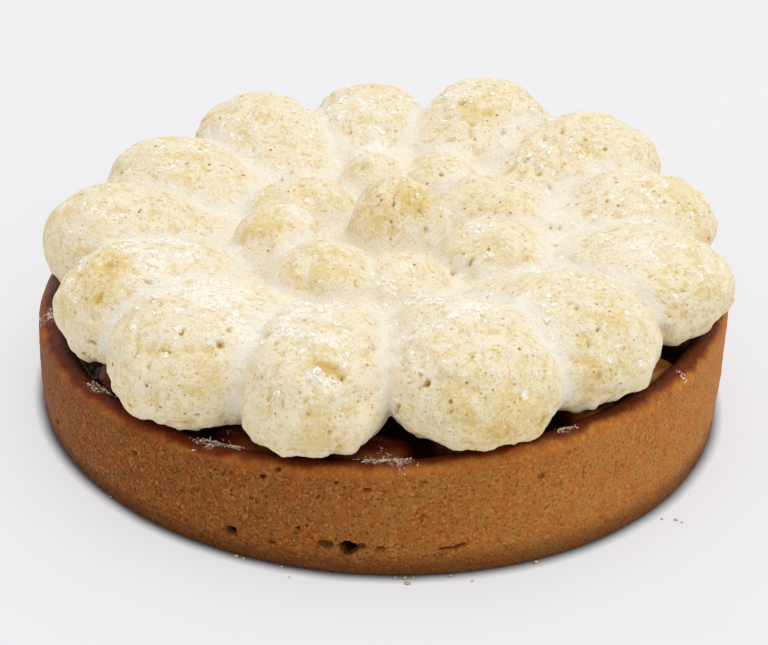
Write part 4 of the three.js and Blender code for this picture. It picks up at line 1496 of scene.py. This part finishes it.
class TartColours(bpy.types.PropertyGroup):
    """Colours of the baked surfaces, the sugar and the table."""

    crust_brown: colour_choice("Crust brown", "#875424", "Darker baked side of the shell")
    crust_red: colour_choice("Crust red", "#8e4818", "Warm patches of the darker side")
    crust_tan: colour_choice("Crust tan", "#bc803b", "Lighter baked side of the shell")
    crust_orange: colour_choice("Crust orange", "#c06e2b", "Warm patches of the lighter side")
    crust_sand: colour_choice("Crust sand", "#d09a4c", "Pale sandy patches and glints")
    crust_dark: colour_choice("Crust dark", "#4c210a", "Dark specks of the shell")
    # The foot's colour is partly its own darker bake and partly painted shade near the table.
    crust_foot_and_shade: colour_choice("Crust foot", "#48230e", "Darkest baked foot of the shell")
    crust_rim: colour_choice("Crust rim", "#a9561c", "Smooth band under the ridge")
    # Painted shade in shallow and in deep burst bubbles.
    crust_pit_shade: colour_choice("Crust pit", "#4a1c08", "Shallow burst bubbles")
    crust_hollow_shade: colour_choice("Crust hollow", "#120602", "Deep burst bubbles")
    biscuit_top: colour_choice("Biscuit top", "#f4e8cc", "Crowns of the topping")
    biscuit_low: colour_choice("Biscuit low", "#f8ebc8", "Low sides of the topping")
    biscuit_fold: colour_choice("Biscuit fold", "#f3ecdb", "Folds between the heads")
    biscuit_gold: colour_choice("Biscuit gold", "#e6ca7c", "Toasted freckles of the topping")
    biscuit_brown: colour_choice("Biscuit brown", "#d9ab48", "Strongly toasted freckles")
    biscuit_pale: colour_choice("Biscuit pale", "#f9f1df", "Pale patches of the topping")
    # The pores' colour is partly browning and partly painted shade.
    biscuit_pore: colour_choice("Biscuit pore", "#ab7a20", "Browned pores of the topping")
    icing_sugar: colour_choice("Icing sugar", "#fdf7ea", "Powder on the topping")
    sugar_grain: colour_choice("Sugar grain", "#e8d5be", "Grains on the rim and the filling")
    caramel_red: colour_choice("Caramel red", "#5c1803", "Thin syrup on the rim")
    caramel_dark: colour_choice("Caramel", "#381407", "Dark syrup of the filling")
    apple_amber: colour_choice("Apple", "#935426", "Amber flesh of the apple")
    apple_pale: colour_choice("Pale apple", "#c98a3c", "Flesh that took less colour")
    crumb: colour_choice("Crumb", "#d9c294", "Crumbs on the table")
    table: colour_choice("Table", "#8c8b8c", "Table top")


class TartSizes(bpy.types.PropertyGroup):
    """Sizes of the sugar and the table."""

    grain_radius: length_choice("Grain radius", 0.1, "Middling radius of a sugar grain")
    table_width: length_choice("Table width", 4000.0, "Width of the table top")
    fleck_count: bpy.props.IntProperty(
        name="Flecks",
        description="How many flecks of icing sugar lie on the topping",
        default=9300,
        min=1,
        max=9500,
    )


# ---------------------------------------------------------------- operators


class MESH_OT_tart_shell(bpy.types.Operator):
    """Builds the shortcrust shell in place of the model's plain one"""

    bl_idname = "mesh.tart_shell"
    bl_label = "Shortcrust Shell"

    def execute(self, context):
        material = baked_shortcrust(context.scene.tart_colours)
        build("shortcrust_shell", crust_surface(), material, "crust", "crust")
        return {"FINISHED"}


class MESH_OT_tart_filling(bpy.types.Operator):
    """Builds the caramelised apple filling in place of the model's plain one"""

    bl_idname = "mesh.tart_filling"
    bl_label = "Apple Filling"

    def execute(self, context):
        material = caramelised_apple(context.scene.tart_colours)
        build("caramel_apple", filling_surface(), material, "apple_filling", "apple_filling")
        return {"FINISHED"}


class MESH_OT_tart_topping(bpy.types.Operator):
    """Builds the piped biscuit topping in place of the model's plain one"""

    bl_idname = "mesh.tart_topping"
    bl_label = "Piped Topping"

    def execute(self, context):
        material = baked_biscuit(context.scene.tart_colours)
        build("topping_skin", topping_surface(), material, "piped_topping", "piped_topping")
        return {"FINISHED"}


class MESH_OT_tart_sugar(bpy.types.Operator):
    """Sieves icing sugar on the topping and strews sugar grains round the rim"""

    bl_idname = "mesh.tart_sugar"
    bl_label = "Sugar"

    def execute(self, context):
        colours = context.scene.tart_colours
        sizes = context.scene.tart_sizes
        flecks = sugar_flecks(sizes.fleck_count)
        build("icing_sugar_flecks", flecks, icing_sugar(colours), "piped_topping")
        grains = sugar_grains(sizes.grain_radius / MM)
        build("sugar_grains", grains, crystal_sugar(colours), "crust")
        return {"FINISHED"}


class MESH_OT_tart_crumbs(bpy.types.Operator):
    """Drops the shell's crumbs on the table round its foot"""

    bl_idname = "mesh.tart_crumbs"
    bl_label = "Crumbs"

    def execute(self, context):
        build("foot_crumbs", table_crumbs(), dry_crumb(context.scene.tart_colours), "crust")
        return {"FINISHED"}


# Lights: name, place and what it points at in metres, width in metres, power in watts, colour.
SOFTBOXES = (
    ("top_softbox", (0.12, 0.05, 0.75), (0.0, 0.0, 0.0), 0.7, 2.45, (1.0, 0.99, 0.98)),
    ("right_softbox", (0.7, -0.35, 0.4), (0.0, 0.0, 0.01), 0.5, 0.4, (1.0, 0.98, 0.96)),
)
CAMERA_PLACE = (0.0, -0.32165, 0.19279)
CAMERA_AIM = (-0.000355, 0.0, 0.01051)
CAMERA_ROLL = 2.53
CAMERA_LENS = 119.19
WORLD_COLOUR = (0.97, 0.98, 1.0, 1.0)
WORLD_STRENGTH = 0.78
# The table's glow is painted light, and the reach is that of its painted contact shadow.
TABLE_GLOW = (0.99, 0.98, 1.0, 1.0)
TABLE_GLOW_STRENGTH = 0.6
PAINTED_SHADOW_REACH = 1.8 * MM
SENSOR_WIDTH = 36.0


def aim_from(place, target):
    """Turn that points a light's or a camera's -Z from its place at a target, with Y up."""
    return (Vector(target) - Vector(place)).to_track_quat("-Z", "Y")


class SCENE_OT_tart_stage(bpy.types.Operator):
    """Sets the table, the soft lights and the camera"""

    bl_idname = "scene.tart_stage"
    bl_label = "Stage"

    def execute(self, context):
        half = context.scene.tart_sizes.table_width / 2.0 / MM
        corners = [(-half, -half, 0.0), (half, -half, 0.0), (half, half, 0.0), (-half, half, 0.0)]
        table = make_object("table_top", np.array(corners), [np.array([[0, 1, 2, 3]])], {})
        table.data.materials.append(glowing_table(context.scene.tart_colours))
        for name, place, aim, width, power, colour in SOFTBOXES:
            light = bpy.data.lights.new(name, "AREA")
            light.size = width
            light.energy = power
            light.color = colour
            lamp = bpy.data.objects.new(name, light)
            lamp.location = place
            lamp.rotation_euler = aim_from(place, aim).to_euler()
            context.scene.collection.objects.link(lamp)
        world = bpy.data.worlds.new("soft_room")
        world.use_nodes = True
        sky = world.node_tree.nodes["Background"]
        feed(world.node_tree, sky, {"Color": WORLD_COLOUR, "Strength": WORLD_STRENGTH})
        context.scene.world = world
        context.scene.view_settings.view_transform = "Standard"
        lens = bpy.data.cameras.new("photo_camera")
        lens.lens = CAMERA_LENS
        lens.sensor_width = SENSOR_WIDTH
        camera = bpy.data.objects.new("photo_camera", lens)
        camera.location = CAMERA_PLACE
        roll = Quaternion((0.0, 0.0, 1.0), math.radians(CAMERA_ROLL))
        camera.rotation_mode = "QUATERNION"
        camera.rotation_quaternion = aim_from(CAMERA_PLACE, CAMERA_AIM) @ roll
        context.scene.collection.objects.link(camera)
        context.scene.camera = camera
        return {"FINISHED"}


# ---------------------------------------------------------------- panel and registration

STEPS = (
    MESH_OT_tart_shell,
    MESH_OT_tart_filling,
    MESH_OT_tart_topping,
    MESH_OT_tart_sugar,
    MESH_OT_tart_crumbs,
    SCENE_OT_tart_stage,
)


class VIEW3D_PT_tart(bpy.types.Panel):
    """Lists the tart's steps, sizes and colours"""

    bl_idname = "VIEW3D_PT_tart"
    bl_label = "Apple Tart"
    bl_space_type = "VIEW_3D"
    bl_region_type = "UI"
    bl_category = "Tart"

    def draw(self, context):
        for step in STEPS:
            self.layout.operator(step.bl_idname)
        for group in (context.scene.tart_sizes, context.scene.tart_colours):
            box = self.layout.box()
            for name in group.__annotations__:
                box.prop(group, name)


CLASSES = (TartColours, TartSizes, *STEPS, VIEW3D_PT_tart)


def register():
    """Registers the classes and hangs the settings on the scene."""
    for kind in CLASSES:
        bpy.utils.register_class(kind)
    bpy.types.Scene.tart_colours = bpy.props.PointerProperty(type=TartColours)
    bpy.types.Scene.tart_sizes = bpy.props.PointerProperty(type=TartSizes)


def unregister():
    """Takes the settings off the scene and the classes out, last first."""
    del bpy.types.Scene.tart_sizes
    del bpy.types.Scene.tart_colours
    for kind in reversed(CLASSES):
        bpy.utils.unregister_class(kind)


def main():
    """Registers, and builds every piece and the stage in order."""
    register()
    bpy.ops.mesh.tart_shell()
    bpy.ops.mesh.tart_filling()
    bpy.ops.mesh.tart_topping()
    bpy.ops.mesh.tart_sugar()
    bpy.ops.mesh.tart_crumbs()
    bpy.ops.scene.tart_stage()
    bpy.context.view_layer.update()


if __name__ == "__main__":
    main()
